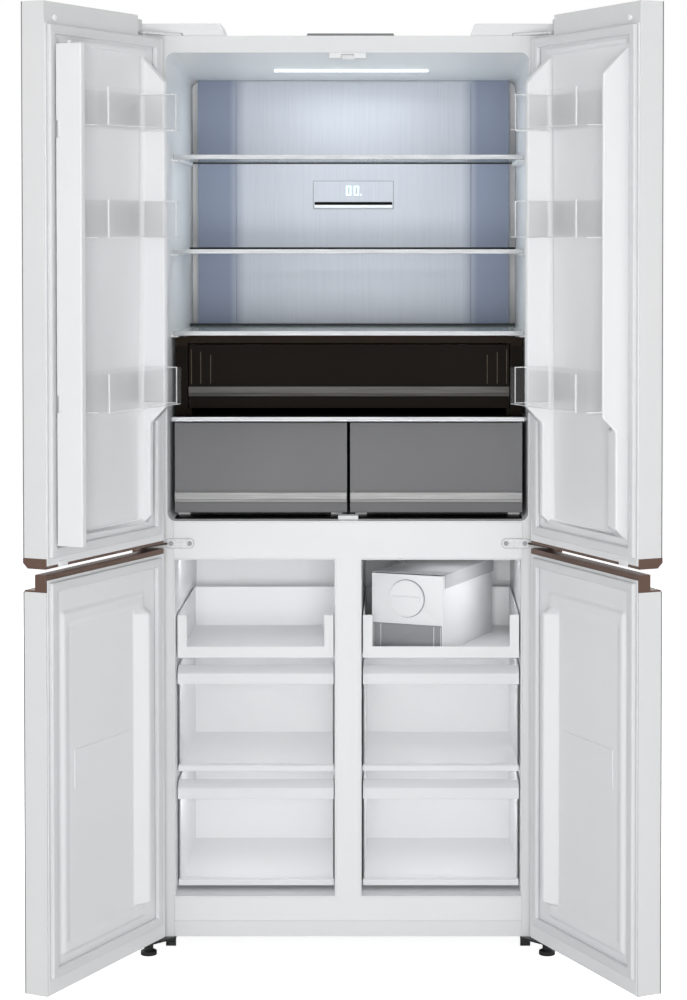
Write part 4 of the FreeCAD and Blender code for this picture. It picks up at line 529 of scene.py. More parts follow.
def strip_lamp(name, place, lean, length, width, watts, colour=(1, 1, 1), turn=0):
    """A long hidden area lamp that leans from straight down to the back, or is turned to a side."""
    data = bpy.data.lights.new(name, "AREA")
    data.shape = "RECTANGLE"
    data.size = length
    data.size_y = width
    data.energy = watts
    data.color = colour
    lamp = bpy.data.objects.new(name, data)
    lamp.location = place
    lamp.rotation_euler = (math.radians(lean), 0, math.radians(turn))
    lamp.visible_glossy = False
    lamp.visible_camera = False
    scene.collection.objects.link(lamp)


COOL_WHITE = (0.93, 0.97, 1.0)
SLIM = 0.012
FREEZER_MIDDLE = 0.184
FRIDGE_FILLS = (("top", 1.564), ("middle", 1.375))
FREEZER_FILLS = (("middle", 0.515, 0.2), ("low", 0.29, 0.27))
lens_back = (low[1] + high[1]) / 2
strip_lamp("ceiling_lamp", (0, lens_back, low[2] - 0.004), 0, high[0] - low[0], 0.03, 0.7, COOL_WHITE)
for word, height in FRIDGE_FILLS:
    strip_lamp(f"fridge_lamp_{word}", (0, FRONT + 0.12, height), 70, 0.6, SLIM, 0.22, COOL_WHITE)
for word, side in SIDES:
    place = (-side * 0.02, FRONT + 0.14, 1.42)
    strip_lamp(f"fridge_lamp_side_{word}", place, 90, 0.2, 0.36, 0.3, COOL_WHITE, turn=side * 90)
    for row, height, watts in FREEZER_FILLS:
        place = (-side * FREEZER_MIDDLE, FRONT + 0.06, height)
        strip_lamp(f"freezer_lamp_{row}_{word}", place, 75, 0.27, SLIM, watts)
strip_lamp("freezer_lamp_tray_left", (-FREEZER_MIDDLE, FRONT + 0.08, 0.768), 75, 0.27, SLIM, 0.17)
strip_lamp("freezer_lamp_tray_right", (0.3, FRONT + 0.05, 0.762), 70, 0.05, SLIM, 0.035)
strip_lamp("freezer_lamp_ice", (0.318, FRONT + 0.13, 0.7), 80, 0.2, 0.03, 0.055, turn=75)
strip_lamp("freezer_lamp_lid", (0.2, FRONT + 0.17, 0.774), 0, 0.12, 0.1, 0.035)
print("ceiling lamp under", [round(n, 3) for n in low])

# %% [markdown]
# ## Finishes onto the CAD nodes
# The record names a material slot for every node. One table from slot to finish dresses most of them, and a
# second one names the nodes that differ from their slot.

# %% Dress the nodes
finishes = {
    "case_white": case_white, "galvanised_steel": galvanised, "insulation": foam,
    "liner_white": liner_white, "gasket_grey": gasket_grey, "copper_trim": copper_trim,
    "clear_plastic": clear_plastic, "frosted_plastic": frosted_plastic, "tray_white": tray_white,
    "shelf_glass": shelf_glass, "silver_trim": silver_trim, "duct_metal": duct_metal,
    "smoked_plastic": smoked_plastic, "crisper_grey": crisper_grey, "light_lens": light_lens,
    "hinge_steel": hinge_steel, "black_plastic": black_plastic, "black_steel": black_steel,
    "coil_metal": coil_metal,
}
liners = [door + "_liner" for door in UPPER_DOORS + LOWER_DOORS]
special = {
    "control_panel": duct_metal, "left_crisper_handle": strip_metal, "right_crisper_handle": strip_metal,
    "fresh_drawer_handle": strip_dark, "top_covers": cover_white, "hinge_screws": screw_steel,
    "ice_box": smoky_plastic, "fresh_zone_frame": smoked_frame, "flip_mullion": mullion_white,
    "mullion_guides": mullion_white,
}
special.update((name, door_liner) for name in liners)
slot_of = {row["node"]: row["material_slot"] for row in frame["record"]["subparts"]}
for name, cad in nodes.items():
    slot = slot_of[name]
    finish = door_skins["left" if "left" in name else "right"] if slot == "door_white" else finishes[slot]
    cad.data.materials.clear()
    cad.data.materials.append(special.get(name, finish))
print(len(nodes), "nodes dressed")

# %% [markdown]
# ## Soft edges
# The solids have knife-sharp edges, which no moulded or pressed piece has. A copy of each node that shows
# is merged, because its triangles are loose, its flat faces are joined, and its sharp edges are rounded by
# a bevel. The copy then stands for the node in the picture. Thin sheet gets a hair of a bevel, and
# mouldings get more.

# %% Tools for soft edges
SMOOTH = math.radians(35)
FLAT = math.radians(1)
MERGE = 0.00001


def only(piece):
    """Make one object the selected and active one."""
    bpy.ops.object.select_all(action="DESELECT")
    piece.select_set(True)
    bpy.context.view_layer.objects.active = piece


def settle(piece):
    """Work a piece's place and turn into its mesh."""
    only(piece)
    bpy.ops.object.transform_apply(location=True, rotation=True, scale=True)


def call_it(piece, name):
    """Give an object and its mesh one name."""
    piece.name = name
    piece.data.name = name


def copy_of(name):
    """A copy of a CAD node with its loose triangles merged and its flat faces joined."""
    cad = nodes[name]
    copy = bpy.data.objects.new(name + "_skin", cad.data.copy())
    copy.matrix_world = cad.matrix_world.copy()
    scene.collection.objects.link(copy)
    settle(copy)
    bpy.ops.object.mode_set(mode="EDIT")
    bpy.ops.mesh.select_all(action="SELECT")
    bpy.ops.mesh.remove_doubles(threshold=MERGE)
    bpy.ops.mesh.dissolve_limited(angle_limit=FLAT)
    bpy.ops.object.mode_set(mode="OBJECT")
    return copy


def round_edges(piece, width, segments, chosen=None, angle=40):
    """Bevel the edges that are sharper than an angle, or only those between vertices that pass a test."""
    only(piece)
    bevel = piece.modifiers.new("edges", "BEVEL")
    bevel.width = width
    bevel.segments = segments
    bevel.limit_method = "ANGLE"
    bevel.angle_limit = math.radians(angle)
    if chosen:
        group = piece.vertex_groups.new(name="rounded")
        group.add([v.index for v in piece.data.vertices if chosen(v.co)], 1.0, "REPLACE")
        bevel.limit_method = "VGROUP"
        bevel.vertex_group = "rounded"
        bevel.use_clamp_overlap = False
    bpy.ops.object.modifier_apply(modifier="edges")
    piece.vertex_groups.clear()
    bpy.ops.object.shade_smooth_by_angle(angle=SMOOTH)


def even_shade(piece):
    """Let large flat faces keep their own shade, so that it turns only at the rounded edges."""
    only(piece)
    piece.modifiers.new("shade", "WEIGHTED_NORMAL").keep_sharp = True
    bpy.ops.object.modifier_apply(modifier="shade")


def stand_for(piece, name):
    """Let a piece ride with a node's body and show instead of the node."""
    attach(piece, body_of(nodes[name])[0])
    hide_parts(name)


# %% Round the edges of the nodes that show
edge_widths = {
    "case_white": 0.0008, "galvanised_steel": 0.0004, "liner_white": 0.001, "door_white": 0.0008,
    "gasket_grey": 0.003, "copper_trim": 0.001, "clear_plastic": 0.0008, "frosted_plastic": 0.0008,
    "tray_white": 0.0011, "silver_trim": 0.0012, "smoked_plastic": 0.001, "crisper_grey": 0.001,
    "hinge_steel": 0.0007, "black_plastic": 0.001,
}
shaped_later = {"ice_maker_housing", *liners}
softened = 0
for name in nodes:
    if slot_of[name] in edge_widths and name not in shaped_later:
        skin = copy_of(name)
        round_edges(skin, edge_widths[slot_of[name]], 2)
        even_shade(skin)
        stand_for(skin, name)
        softened += 1
print(softened, "nodes with soft edges")

# %% [markdown]
# ## The upper door liners
# A door liner is one vacuum-formed sheet. Its ridges have generous corners, because hot plastic can't
# follow a sharp mould. On the upper liners only the vertices that stand off the flat border are rounded,
# and the knuckles of the flip mullion, which are separate mouldings, stay crisp. The foot of the hinge
# ridge runs out in a wide hollow. The tests turn each vertex back to the closed door.

# %% Round the upper door liners
LINER_FACE = 0.0334
RIDGE_START, RIDGE_END = 0.068, 0.359
RIDGE_RISE = 0.015
NEAR = 0.0005
FOOT_ROUND, RIDGE_ROUND = 0.014, 0.0038
to_closed = Matrix.Rotation(SWING, 4, "Z") @ Matrix.Translation(-AXIS)


def closed(point, side):
    """A point of an open door, turned back to the closed left door."""
    return to_closed @ Vector((side * point.x, point.y, point.z))


def on_foot(side):
    """A test for the foot of the hinge ridge's inner wall."""
    def test(point):
        place = closed(point, side)
        return abs(place.x - RIDGE_START) < NEAR and abs(place.y - LINER_FACE) < NEAR
    return test


def on_ridge(side):
    """A test for the rims of the ridges and their lower feet."""
    def test(point):
        place = closed(point, side)
        return place.y > LINER_FACE + RIDGE_RISE and place.x < RIDGE_END
    return test


for word, side in SIDES:
    name = f"upper_{word}_door_liner"
    skin = copy_of(name)
    round_edges(skin, FOOT_ROUND, 6, on_foot(side))
    round_edges(skin, RIDGE_ROUND, 4, on_ridge(side))
    even_shade(skin)
    stand_for(skin, name)
print("upper door liners rounded")

# %% [markdown]
# ## The ice maker
# The twist ice maker is a white housing with a milky clear lid over its top. CAD keeps both in one node.
# Here the node's copy is parted into its two loose pieces, so that the lid can be clear.

# %% Part the lid from the housing
ICE_ROUND = 0.0009
pair = copy_of("ice_maker_housing")
only(pair)
bpy.ops.object.mode_set(mode="EDIT")
bpy.ops.mesh.select_all(action="SELECT")
bpy.ops.mesh.separate(type="LOOSE")
bpy.ops.object.mode_set(mode="OBJECT")
halves = sorted(bpy.context.selected_objects, key=lambda piece: min(v.co.z for v in piece.data.vertices))
for piece, name, finish in zip(halves, ("ice_maker_case", "ice_maker_lid"), (tray_white, lid_plastic)):
    call_it(piece, name)
    piece.data.materials.clear()
    piece.data.materials.append(finish)
    round_edges(piece, ICE_ROUND, 2)
    stand_for(piece, "ice_maker_housing")
print([piece.name for piece in halves])

# %% [markdown]
# ## Building blocks for small pieces
# Most small parts here are bars, plates and tabs. Each starts as a cube that is pulled out between two
# corners, and its edges are rounded. Millimetres are easier to read for such small things, so places are
# given in millimetres: across, behind the cabinet's front plane, and up. On a door they are measured on the
# closed left door from its hinge axis, and the finished piece is swung open and copied to the right.

# %% Tools for small pieces
MM = 0.001


def spot(x, back, up):
    """A point of the cabinet, given in millimetres."""
    return Vector((x * MM, FRONT + back * MM, up * MM))


def door_spot(x, depth, up):
    """A point of the closed left door, given in millimetres from its hinge axis."""
    return Vector((x * MM, depth * MM, up * MM))


def cube_between(name, low, high):
    """A cube pulled out between two corners."""
    bpy.ops.object.select_all(action="DESELECT")
    bpy.ops.mesh.primitive_cube_add(size=1, location=(low + high) / 2)
    bpy.ops.transform.resize(value=high - low)
    piece = bpy.context.active_object
    call_it(piece, name)
    settle(piece)
    return piece


def block(name, low, high, edge):
    """A bar or a plate between two corners, with all its edges rounded."""
    piece = cube_between(name, low, high)
    bpy.ops.object.mode_set(mode="EDIT")
    bpy.ops.mesh.select_all(action="SELECT")
    bpy.ops.mesh.bevel(offset=edge * MM, segments=3, affect="EDGES")
    bpy.ops.object.mode_set(mode="OBJECT")
    bpy.ops.object.shade_smooth_by_angle(angle=SMOOTH)
    return piece


def disc(name, radius, depth, place, sides):
    """A short cylinder that faces the front."""
    bpy.ops.object.select_all(action="DESELECT")
    bpy.ops.mesh.primitive_cylinder_add(
        vertices=sides, radius=radius * MM, depth=depth * MM, location=place,
        rotation=(math.radians(90), 0, 0),
    )
    piece = bpy.context.active_object
    call_it(piece, name)
    settle(piece)
    return piece


def pick(piece, kind, test):
    """Go into edit mode with only those faces or edges selected that pass a test."""
    only(piece)
    bpy.ops.object.mode_set(mode="EDIT")
    bpy.ops.mesh.select_mode(type=kind)
    bpy.ops.mesh.select_all(action="DESELECT")
    bpy.ops.object.mode_set(mode="OBJECT")
    for item in piece.data.polygons if kind == "FACE" else piece.data.edges:
        item.select = test(item)
    bpy.ops.object.mode_set(mode="EDIT")


def open_middle(piece, width):
    """Turn a plate that faces the front into a frame: its front and back are inset and bored through."""
    pick(piece, "FACE", lambda face: abs(face.normal.y) > 0.99)
    bpy.ops.mesh.inset(thickness=width * MM)
    bpy.ops.mesh.bridge_edge_loops()
    bpy.ops.object.mode_set(mode="OBJECT")
    bpy.ops.object.shade_smooth_by_angle(angle=SMOOTH)
    return piece


def rounded_frame(name, low, high, corner, width):
    """A thin frame that faces the front and has round corners."""
    piece = cube_between(name, low, high)

    def along_y(edge):
        first, last = (piece.data.vertices[index].co for index in edge.vertices)
        return abs(first.y - last.y) > 0.5 * abs(high.y - low.y)
    pick(piece, "EDGE", along_y)
    bpy.ops.mesh.bevel(offset=corner * MM, segments=8, affect="EDGES")
    bpy.ops.object.mode_set(mode="OBJECT")
    return open_middle(piece, width)


def joined(name, pieces):
    """Join several pieces into one object."""
    only(pieces[0])
    for piece in pieces[1:]:
        piece.select_set(True)
    bpy.ops.object.join()
    call_it(pieces[0], name)
    return pieces[0]


def repeated(piece, name, move):
    """A copy of a piece with its own mesh, moved by a step."""
    copy = bpy.data.objects.new(name, piece.data.copy())
    copy.location = move
    scene.collection.objects.link(copy)
    settle(copy)
    return copy


def swing_open(piece):
    """Carry a piece drawn on the closed left door to the open door."""
    piece.matrix_world = Matrix.Translation(AXIS) @ Matrix.Rotation(-SWING, 4, "Z")
    settle(piece)
    return piece


def twin(piece):
    """The right-hand copy of a left-hand piece, with its own mesh and its faces outward."""
    copy = bpy.data.objects.new(piece.name.replace("left", "right"), piece.data.copy())
    copy.scale = (-1, 1, 1)
    scene.collection.objects.link(copy)
    settle(copy)
    bpy.ops.object.mode_set(mode="EDIT")
    bpy.ops.mesh.select_all(action="SELECT")
    bpy.ops.mesh.normals_make_consistent(inside=False)
    bpy.ops.object.mode_set(mode="OBJECT")
    return copy


def dress(piece, finish, body):
    """Give a new piece its finish and the body that it moves with."""
    piece.data.materials.clear()
    piece.data.materials.append(finish)
    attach(piece, body)


def dress_both(piece, finish, bodies):
    """Dress a left-hand piece and a twin of it."""
    right = twin(piece)
    dress(piece, finish, bodies[0])
    dress(right, finish, bodies[1])


# %% [markdown]
# ## The lower door liners
# The sheet inside a lower door has a low rim all round, a shallow floor, a high ridge only along its hinge
# side, and a bare plate across its middle. CAD has a simpler dish with an even rim. Here the sheet is a
# grid whose lines are drawn where the real sheet bends. Its points are pulled to their heights, its bends
# are rounded, and it gets a thickness.

# %% Form the lower liners
LINES_X = (-17.5, 60, 67, 77, 103, 326, 338, 345, 352, 392)
LINES_Z = (41.3, 102, 108, 122, 128, 136, 672, 692, 703, 712, 728, 735, 796)
BORDER_X, BORDER_Z = (60, 352), (102, 735)
RIDGE_SIDE, RIDGE_LOW, RIDGE_TOP = 80, 130, 700
FLOOR_SIDE, FLOOR_LOW, FLOOR_TOP = 330, 125, 710
DISH_FLOOR, DISH_RIM, DISH_RIDGE = 2, 5, 22
BEND_ROUND, BEND_ANGLE, SHEET = 0.0028, 8, 0.0015
PLATE_LOW, PLATE_HIGH = door_spot(118, 35, 402), door_spot(309, 37, 474)


def rise_at(x, z):
    """How far the lower liner stands off its flat border, in millimetres."""
    if not (BORDER_X[0] < x < BORDER_X[1] and BORDER_Z[0] < z < BORDER_Z[1]):
        return 0
    if x < RIDGE_SIDE and RIDGE_LOW < z < RIDGE_TOP:
        return DISH_RIDGE
    if RIDGE_SIDE < x < FLOOR_SIDE and FLOOR_LOW < z < FLOOR_TOP:
        return DISH_FLOOR
    return DISH_RIM


columns, rows = len(LINES_X) - 1, len(LINES_Z) - 1
bpy.ops.object.select_all(action="DESELECT")
bpy.ops.mesh.primitive_grid_add(size=1, x_subdivisions=columns, y_subdivisions=rows)
sheet = bpy.context.active_object
call_it(sheet, "lower_left_door_liner_skin")
for vertex in sheet.data.vertices:
    x = LINES_X[round((vertex.co.x + 0.5) * columns)]
    z = LINES_Z[round((vertex.co.y + 0.5) * rows)]
    vertex.co = door_spot(x, LINER_FACE / MM + rise_at(x, z), z)
only(sheet)
bpy.ops.object.mode_set(mode="EDIT")
bpy.ops.mesh.select_all(action="SELECT")
bpy.ops.mesh.flip_normals()
bpy.ops.object.mode_set(mode="OBJECT")
round_edges(sheet, BEND_ROUND, 4, angle=BEND_ANGLE)
wall = sheet.modifiers.new("wall", "SOLIDIFY")
wall.thickness = SHEET
wall.offset = -1
bpy.ops.object.modifier_apply(modifier="wall")
bpy.ops.object.shade_smooth_by_angle(angle=SMOOTH)
swing_open(sheet)
plate = swing_open(block("door_plate_left", PLATE_LOW, PLATE_HIGH, 0.9))
for door, skin, bare in zip(LOWER_DOORS, (sheet, twin(sheet)), (plate, twin(plate))):
    even_shade(skin)
    even_shade(bare)
    skin.data.materials.append(door_liner)
    stand_for(skin, door + "_liner")
    dress(bare, door_liner, door)
print("lower door liners formed with", len(sheet.data.polygons), "faces each")

# %% [markdown]
# ## The back of the fridge
# The cold-air duct has a pale raised panel in the middle, with darker bands left and right of it, which are
# a painted reflection of the dark side walls. The panel is a shallow pressing, so it is a thin plate with a
# soft edge.

# %% Raised duct panel
DUCT_FACE = (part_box("fridge_duct_panel")[0][1] - FRONT) / MM
FRIDGE_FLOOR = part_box("fridge_duct_panel")[0][2] / MM
DUCT_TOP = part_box("fridge_duct_panel")[1][2] / MM
DUCT_HALF = 257
DUCT_RISE = 4
panel = block(
    "duct_middle", spot(-DUCT_HALF, DUCT_FACE - DUCT_RISE, FRIDGE_FLOOR),
    spot(DUCT_HALF, DUCT_FACE, DUCT_TOP - 2), 1.8,
)
dress(panel, duct_metal, "cabinet")
print("duct middle", [round(n, 3) for n in panel.dimensions])

# %% [markdown]
# ## The control panel
# The control panel has a bare touch face with two plain digits, a slot for the air, whose shade is painted
# as a dark bar, and a white strip below it. A digit is made of bars: one upright bar and one level bar are
# modelled, and the others are copies of them.

# %% Slot, strip and digits
low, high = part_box("control_panel")
PANEL_FACE = (low[1] - FRONT) / MM
PANEL_LOW = low[2] / MM
PANEL_HALF = high[0] / MM
SLOT_HALF = PANEL_HALF - 2
SLOT_LOW, SLOT_TOP = PANEL_LOW + 7.5, PANEL_LOW + 14
STRIP_LOW, STRIP_TOP = PANEL_LOW + 0.5, PANEL_LOW + 7.2
RIM = 1.3
DIGIT_WIDTH, DIGIT_HEIGHT, DIGIT_LOW = 11, 21, PANEL_LOW + 28
BAR, FIRST, STEP = 2.6, -16, 17
DOT_PLACE, DOT = 15, 3
ICE_BLUE = screen(214, 240, 255)
glow_blue, tree, shader = blank("glow_blue")
tree.links.new(spread(tree, noise(tree, 300.0), 0.85, 1.0), shader.inputs["Emission Strength"])
shader.inputs["Emission Color"].default_value = ICE_BLUE
shader.inputs["Base Color"].default_value = ICE_BLUE


def on_panel(name, start, end, low, high, rise=0.6, edge=0.28):
    """A thin bar on the control panel's face."""
    return block(name, spot(start, PANEL_FACE - rise, low), spot(end, PANEL_FACE, high), edge)


# The slot's shade is painted as a near-black bar on the panel's face.
slot_bar = on_panel("panel_slot", -SLOT_HALF, SLOT_HALF, SLOT_LOW, SLOT_TOP, edge=0.25)
dress(slot_bar, dark_film, "cabinet")
strip = on_panel("panel_strip", -SLOT_HALF, SLOT_HALF, STRIP_LOW, STRIP_TOP, 1.2, 0.5)
dress(strip, tray_white, "cabinet")
rim = rounded_frame(
    "panel_rim", spot(-PANEL_HALF - RIM, PANEL_FACE + 0.4, PANEL_LOW - RIM),
    spot(PANEL_HALF + RIM, PANEL_FACE + 2, high[2] / MM + RIM), 2, 1.2,
)
dress(rim, screw_steel, "cabinet")
upright = on_panel("digit_upright", FIRST, FIRST + BAR, DIGIT_LOW, DIGIT_LOW + DIGIT_HEIGHT)
level_bar = on_panel("digit_level", FIRST + BAR, FIRST + DIGIT_WIDTH - BAR, DIGIT_LOW, DIGIT_LOW + BAR)
across = Vector((DIGIT_WIDTH - BAR, 0, 0)) * MM
above = Vector((0, 0, DIGIT_HEIGHT - BAR)) * MM
digit = [
    upright, repeated(upright, "digit_upright_far", across),
    level_bar, repeated(level_bar, "digit_level_top", above),
]
bars = digit + [repeated(bar, bar.name + "_second", Vector((STEP, 0, 0)) * MM) for bar in digit]
bars.append(on_panel("digit_dot", DOT_PLACE, DOT_PLACE + DOT, DIGIT_LOW, DIGIT_LOW + DOT))
dress(joined("panel_digits", bars), glow_blue, "cabinet")
print("digits of", len(bars), "bars")

# %% [markdown]
# ## Shelves and the fresh zone
# Each glass shelf has a dark bar along its back edge, which stands a little above the glass. A grey piece
# on each end of its front trim is painted shade, where the trim lies in the shade of the door liners. The
# fresh zone's floor and back, and a sheet under the crispers, are dark sheets of painted shade, which is
# why nothing bright shows under and behind the drawers. Through the smoked front of the fresh drawer a few
# pale upright
# lines show at both ends: the drawer's side walls seen through the front, with painted highlights.

# %% Dark back bars and painted shade on the trim ends of the shelves
SHELF_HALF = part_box("shelf_glass")[1][0] / MM
SHELF_BACK = (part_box("shelf_glass")[1][1] - FRONT) / MM
TRIM_FRONT = 80
TOP_SEAT, MIDDLE_SEAT, LOWER_SEAT = 1573, 1384, 1220
DARK_BAR_LOW, DARK_BAR_TOP, DARK_BAR_DEPTH = TOP_SEAT - 2, TOP_SEAT + 8.5, 5
SHADED_END_LOW, SHADED_END_TOP, SHADED_END_WIDTH = TOP_SEAT - 3, TOP_SEAT + 6.5, 30
dark_bar = block(
    "top_shelf_rail", spot(-SHELF_HALF, SHELF_BACK, DARK_BAR_LOW),
    spot(SHELF_HALF, SHELF_BACK + DARK_BAR_DEPTH, DARK_BAR_TOP), 1,
)
# A grey piece of painted shade on each end of the shelf's front trim.
shaded_end = block(
    "top_shelf_cap_left", spot(-SHELF_HALF - 1, TRIM_FRONT + 0.4, SHADED_END_LOW),
    spot(-SHELF_HALF + SHADED_END_WIDTH, TRIM_FRONT + 14, SHADED_END_TOP), 1.2,
)
shelf_pieces = [(dark_bar, black_plastic), (shaded_end, cap_grey), (twin(shaded_end), cap_grey)]
for word, seat in (("middle", MIDDLE_SEAT), ("lower", LOWER_SEAT)):
    step = Vector((0, 0, (seat - TOP_SEAT) * MM))
    for piece, finish in shelf_pieces[:3]:
        shelf_pieces.append((repeated(piece, piece.name.replace("top", word), step), finish))
for piece, finish in shelf_pieces:
    dress(piece, finish, "cabinet")
print(len(shelf_pieces), "shelf pieces")

# %% Painted shade: dark floor and back of the fresh zone and a dark sheet under the crispers
low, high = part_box("fresh_zone_frame")
FRESH_HALF = high[0] / MM
FRESH_BACK = (high[1] - FRONT) / MM
FRESH_LOW = low[2] / MM
FRESH_TOP = high[2] / MM
FRESH_SHADE_FRONT = 34
SHADE_SHEET_HALF, SHADE_SHEET_FRONT, SHADE_SHEET_BACK = 346, 36, 104
# Dark sheets of painted shade: the fresh zone's floor and back, and a sheet under the crispers.
fresh_floor = block(
    "fresh_zone_floor", spot(-FRESH_HALF, FRESH_SHADE_FRONT, FRESH_LOW + 0.1),
    spot(FRESH_HALF, FRESH_BACK, FRESH_LOW + 1.1), 0.3,
)
fresh_back = block(
    "fresh_zone_back", spot(-FRESH_HALF, FRESH_BACK + 0.5, FRESH_LOW),
    spot(FRESH_HALF, FRESH_BACK + 3, FRESH_TOP), 0.5,
)
shade_sheet = block(
    "crisper_mat", spot(-SHADE_SHEET_HALF, SHADE_SHEET_FRONT, FRIDGE_FLOOR + 0.2),
    spot(SHADE_SHEET_HALF, SHADE_SHEET_BACK, FRIDGE_FLOOR + 1.4), 0.3,
)
for piece in (fresh_floor, fresh_back, shade_sheet):
    dress(piece, dark_film, "cabinet")
print("fresh zone closed and crisper mat laid")

# %% Pale lines at both ends of the fresh drawer: its side walls seen through the front, with painted highlights
DRAWER_FACE = (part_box("fresh_drawer")[0][1] - FRONT) / MM
LIT_LINE_PLACES = (318, 299, 279)
LIT_LINE_WIDTH, LIT_LINE_LOW, LIT_LINE_TOP, LIT_LINE_DROP = 1.3, 1120, 1190, 6
# Each pale line is a side wall of the drawer seen through its front, brightened by a painted highlight.
for number, line_x in enumerate(LIT_LINE_PLACES):
    lit_line = block(
        f"fresh_rib_left_{number}", spot(-line_x, DRAWER_FACE - 0.5, LIT_LINE_LOW),
        spot(-line_x + LIT_LINE_WIDTH, DRAWER_FACE + 0.3, LIT_LINE_TOP - LIT_LINE_DROP * number), 0.3,
    )
    dress_both(lit_line, rib_brown, ("fresh_drawer", "fresh_drawer"))
print(2 * len(LIT_LINE_PLACES), "ribs on the fresh drawer")

# %% [markdown]
# ## Door bins
# Clear plastic shows by its edges, where light that has run along inside the wall comes out. So each bin
# gets painted highlights on its edges, as thin bright bars: along the bottom, up the corners at both ends
# and along the top at the hinge end. The highlights are drawn on the closed door for the top bin, copied
# down for the other two and then swung open and mirrored.

# %% Painted highlights on the edges of the bins
BIN_NEAR, BIN_FAR = 68.6, 349.4
BIN_BACK, BIN_FRONT = 37.7, 131.0
BIN_LOWS = {"top": 1617, "middle": 1414, "lower": 1098}
BIN_FOOT, BIN_TOP = BIN_LOWS["top"] + 0.3, BIN_LOWS["top"] + 70
BIN_CORNER, HIGHLIGHT, HIGHLIGHT_EDGE = 16, 1.6, 0.4
near_corner = BIN_FRONT - 18
near_wall = (BIN_NEAR, BIN_NEAR + HIGHLIGHT)
side_run = (BIN_BACK, BIN_FRONT - BIN_CORNER)
along_foot = (BIN_FOOT, BIN_FOOT + HIGHLIGHT)
whole_height = (BIN_FOOT, BIN_TOP)
highlight_rows = (
    ((BIN_NEAR + BIN_CORNER, BIN_FAR - BIN_CORNER), (BIN_FRONT - HIGHLIGHT, BIN_FRONT), along_foot, HIGHLIGHT_EDGE),
    ((BIN_FAR - 18, BIN_FAR - 13), (BIN_FRONT - 3.2, BIN_FRONT - 0.3), whole_height, 2 * HIGHLIGHT_EDGE),
    ((BIN_FAR - HIGHLIGHT, BIN_FAR), side_run, along_foot, HIGHLIGHT_EDGE),
    (near_wall, side_run, (BIN_TOP - HIGHLIGHT, BIN_TOP), HIGHLIGHT_EDGE),
    (near_wall, side_run, along_foot, HIGHLIGHT_EDGE),
    (near_wall, (near_corner, near_corner + HIGHLIGHT), whole_height, HIGHLIGHT_EDGE),
)
highlights = []
for x, depth, up, edge in highlight_rows:
    highlights.append(block("bead", door_spot(x[0], depth[0], up[0]), door_spot(x[1], depth[1], up[1]), edge))
top_highlights = joined("top_bin_beads_left", highlights)
bin_highlights = [top_highlights]
for word in ("middle", "lower"):
    step = Vector((0, 0, (BIN_LOWS[word] - BIN_LOWS["top"]) * MM))
    bin_highlights.append(repeated(top_highlights, f"{word}_bin_beads_left", step))
for piece in bin_highlights:
    dress_both(swing_open(piece), clear_edge, UPPER_DOORS)
print(2 * len(bin_highlights), "sets of beads")

# %% [markdown]
# ## Small things on the doors
# A round plug closes a filling hole near the top free corner of each upper door, and a small white tab sits
# at the bottom trim. The plug is a short cylinder with a rounded rim, and the tab is a rounded block.

# %% Plugs and tabs
PLUG_PLACE, PLUG_RADIUS, PLUG_DEPTH, PLUG_ROUND = door_spot(361, 33.4, 1812), 6, 4, 0.0012
TAB_LOW, TAB_HIGH = door_spot(326, 31.4, 817), door_spot(356, 34.5, 827)
plug = disc("filling_plug_left", PLUG_RADIUS, PLUG_DEPTH, PLUG_PLACE, 32)
round_edges(plug, PLUG_ROUND, 3)
dress_both(swing_open(plug), liner_white, UPPER_DOORS)
tab = block("bottom_tab_left", TAB_LOW, TAB_HIGH, 0.8)
dress_both(swing_open(tab), tray_white, UPPER_DOORS)
print("plugs and tabs made")

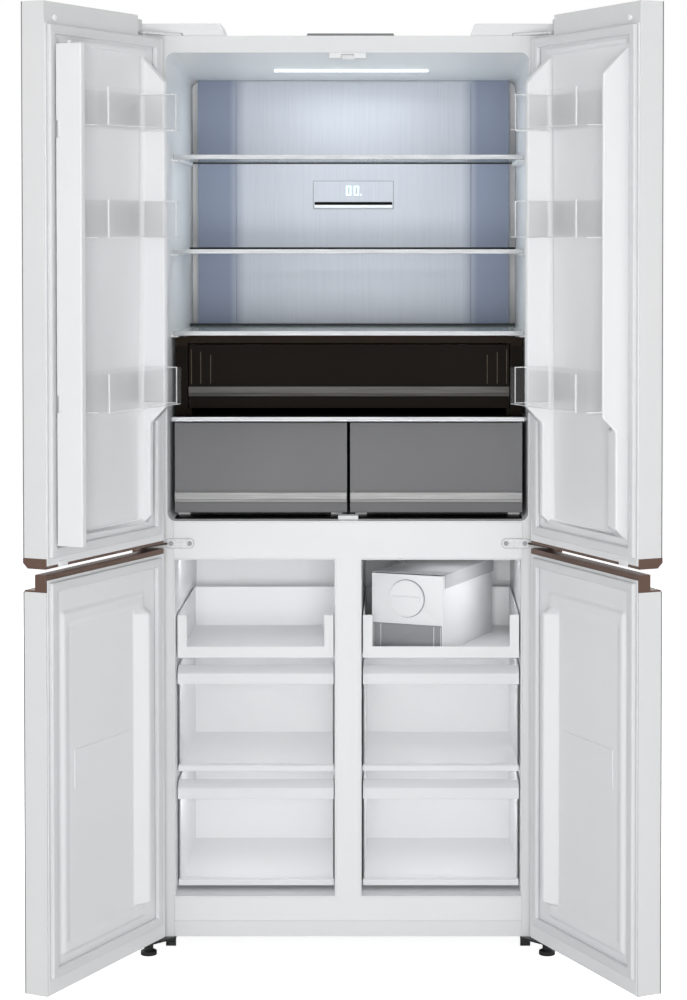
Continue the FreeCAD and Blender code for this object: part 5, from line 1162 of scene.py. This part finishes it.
# %% [markdown]
# ## Outlines on the middle hinges and the ice maker
# The plates of the middle hinges have a grey pressed edge all round. Round the ice maker's knob a grey ring
# is painted shade of the groove between knob and housing, and bright upright bars on its box are painted
# highlights on the edges of the clear plastic. The ice maker stands askew in its tray, so its small pieces
# are made facing the front and are then turned with it, about the place and the axis of the knob's joint.

# %% Hinge outlines
OUTLINE_LOW, OUTLINE_HIGH = spot(-361.2, -3.5, 801.2), spot(-302.8, -2.6, 820.8)
OUTLINE_CORNER, OUTLINE_WIDTH = 9.3, 0.9
hinge_rim = rounded_frame("hinge_rim_left", OUTLINE_LOW, OUTLINE_HIGH, OUTLINE_CORNER, OUTLINE_WIDTH)
dress_both(hinge_rim, screw_steel, ("cabinet", "cabinet"))
print("hinge outlines made")

# %% Painted groove shade round the knob and painted highlights on the ice box's edges
knob = joints["ice_maker_knob_twist"]
knob_x, knob_y, knob_z = knob["pos_m"]
askew = math.atan2(knob["axis"][0], -knob["axis"][1])
ice_turn = Matrix.Translation(Vector((knob_x, knob_y, 0))) @ Matrix.Rotation(askew, 4, "Z")
ICE_FACE = -0.145
ICE_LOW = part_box("ice_box")[0][2]
ICE_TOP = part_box("ice_box")[1][2]
GROOVE_RADIUS, GROOVE_DEPTH, GROOVE_WIDTH = 38.4, 1.6, 1.2
EDGE_PLACES, EDGE_WIDTH = (-73, -58, 57, 72), 1.4
# A grey ring of painted shade, standing for the groove between the knob and its housing.
groove_shade = disc("knob_ring", GROOVE_RADIUS, GROOVE_DEPTH, (0, ICE_FACE - 0.6 * MM, knob_z), 64)
open_middle(groove_shade, GROOVE_WIDTH)
# Bright upright bars on the ice box: painted highlights on the edges of its clear plastic.
edges = []
for place in EDGE_PLACES:
    low = Vector((place * MM, ICE_FACE - 0.5 * MM, ICE_LOW + 2 * MM))
    high = Vector(((place + EDGE_WIDTH) * MM, ICE_FACE + 0.3 * MM, ICE_TOP - 2 * MM))
    edges.append(block("box_edge", low, high, 0.3))
box_edges = joined("ice_box_edges", edges)
for piece, finish in ((groove_shade, screw_steel), (box_edges, clear_edge)):
    piece.matrix_world = ice_turn
    settle(piece)
    dress(piece, finish, "right_top_tray")
print("ice maker turned by", round(math.degrees(askew), 1), "degrees")
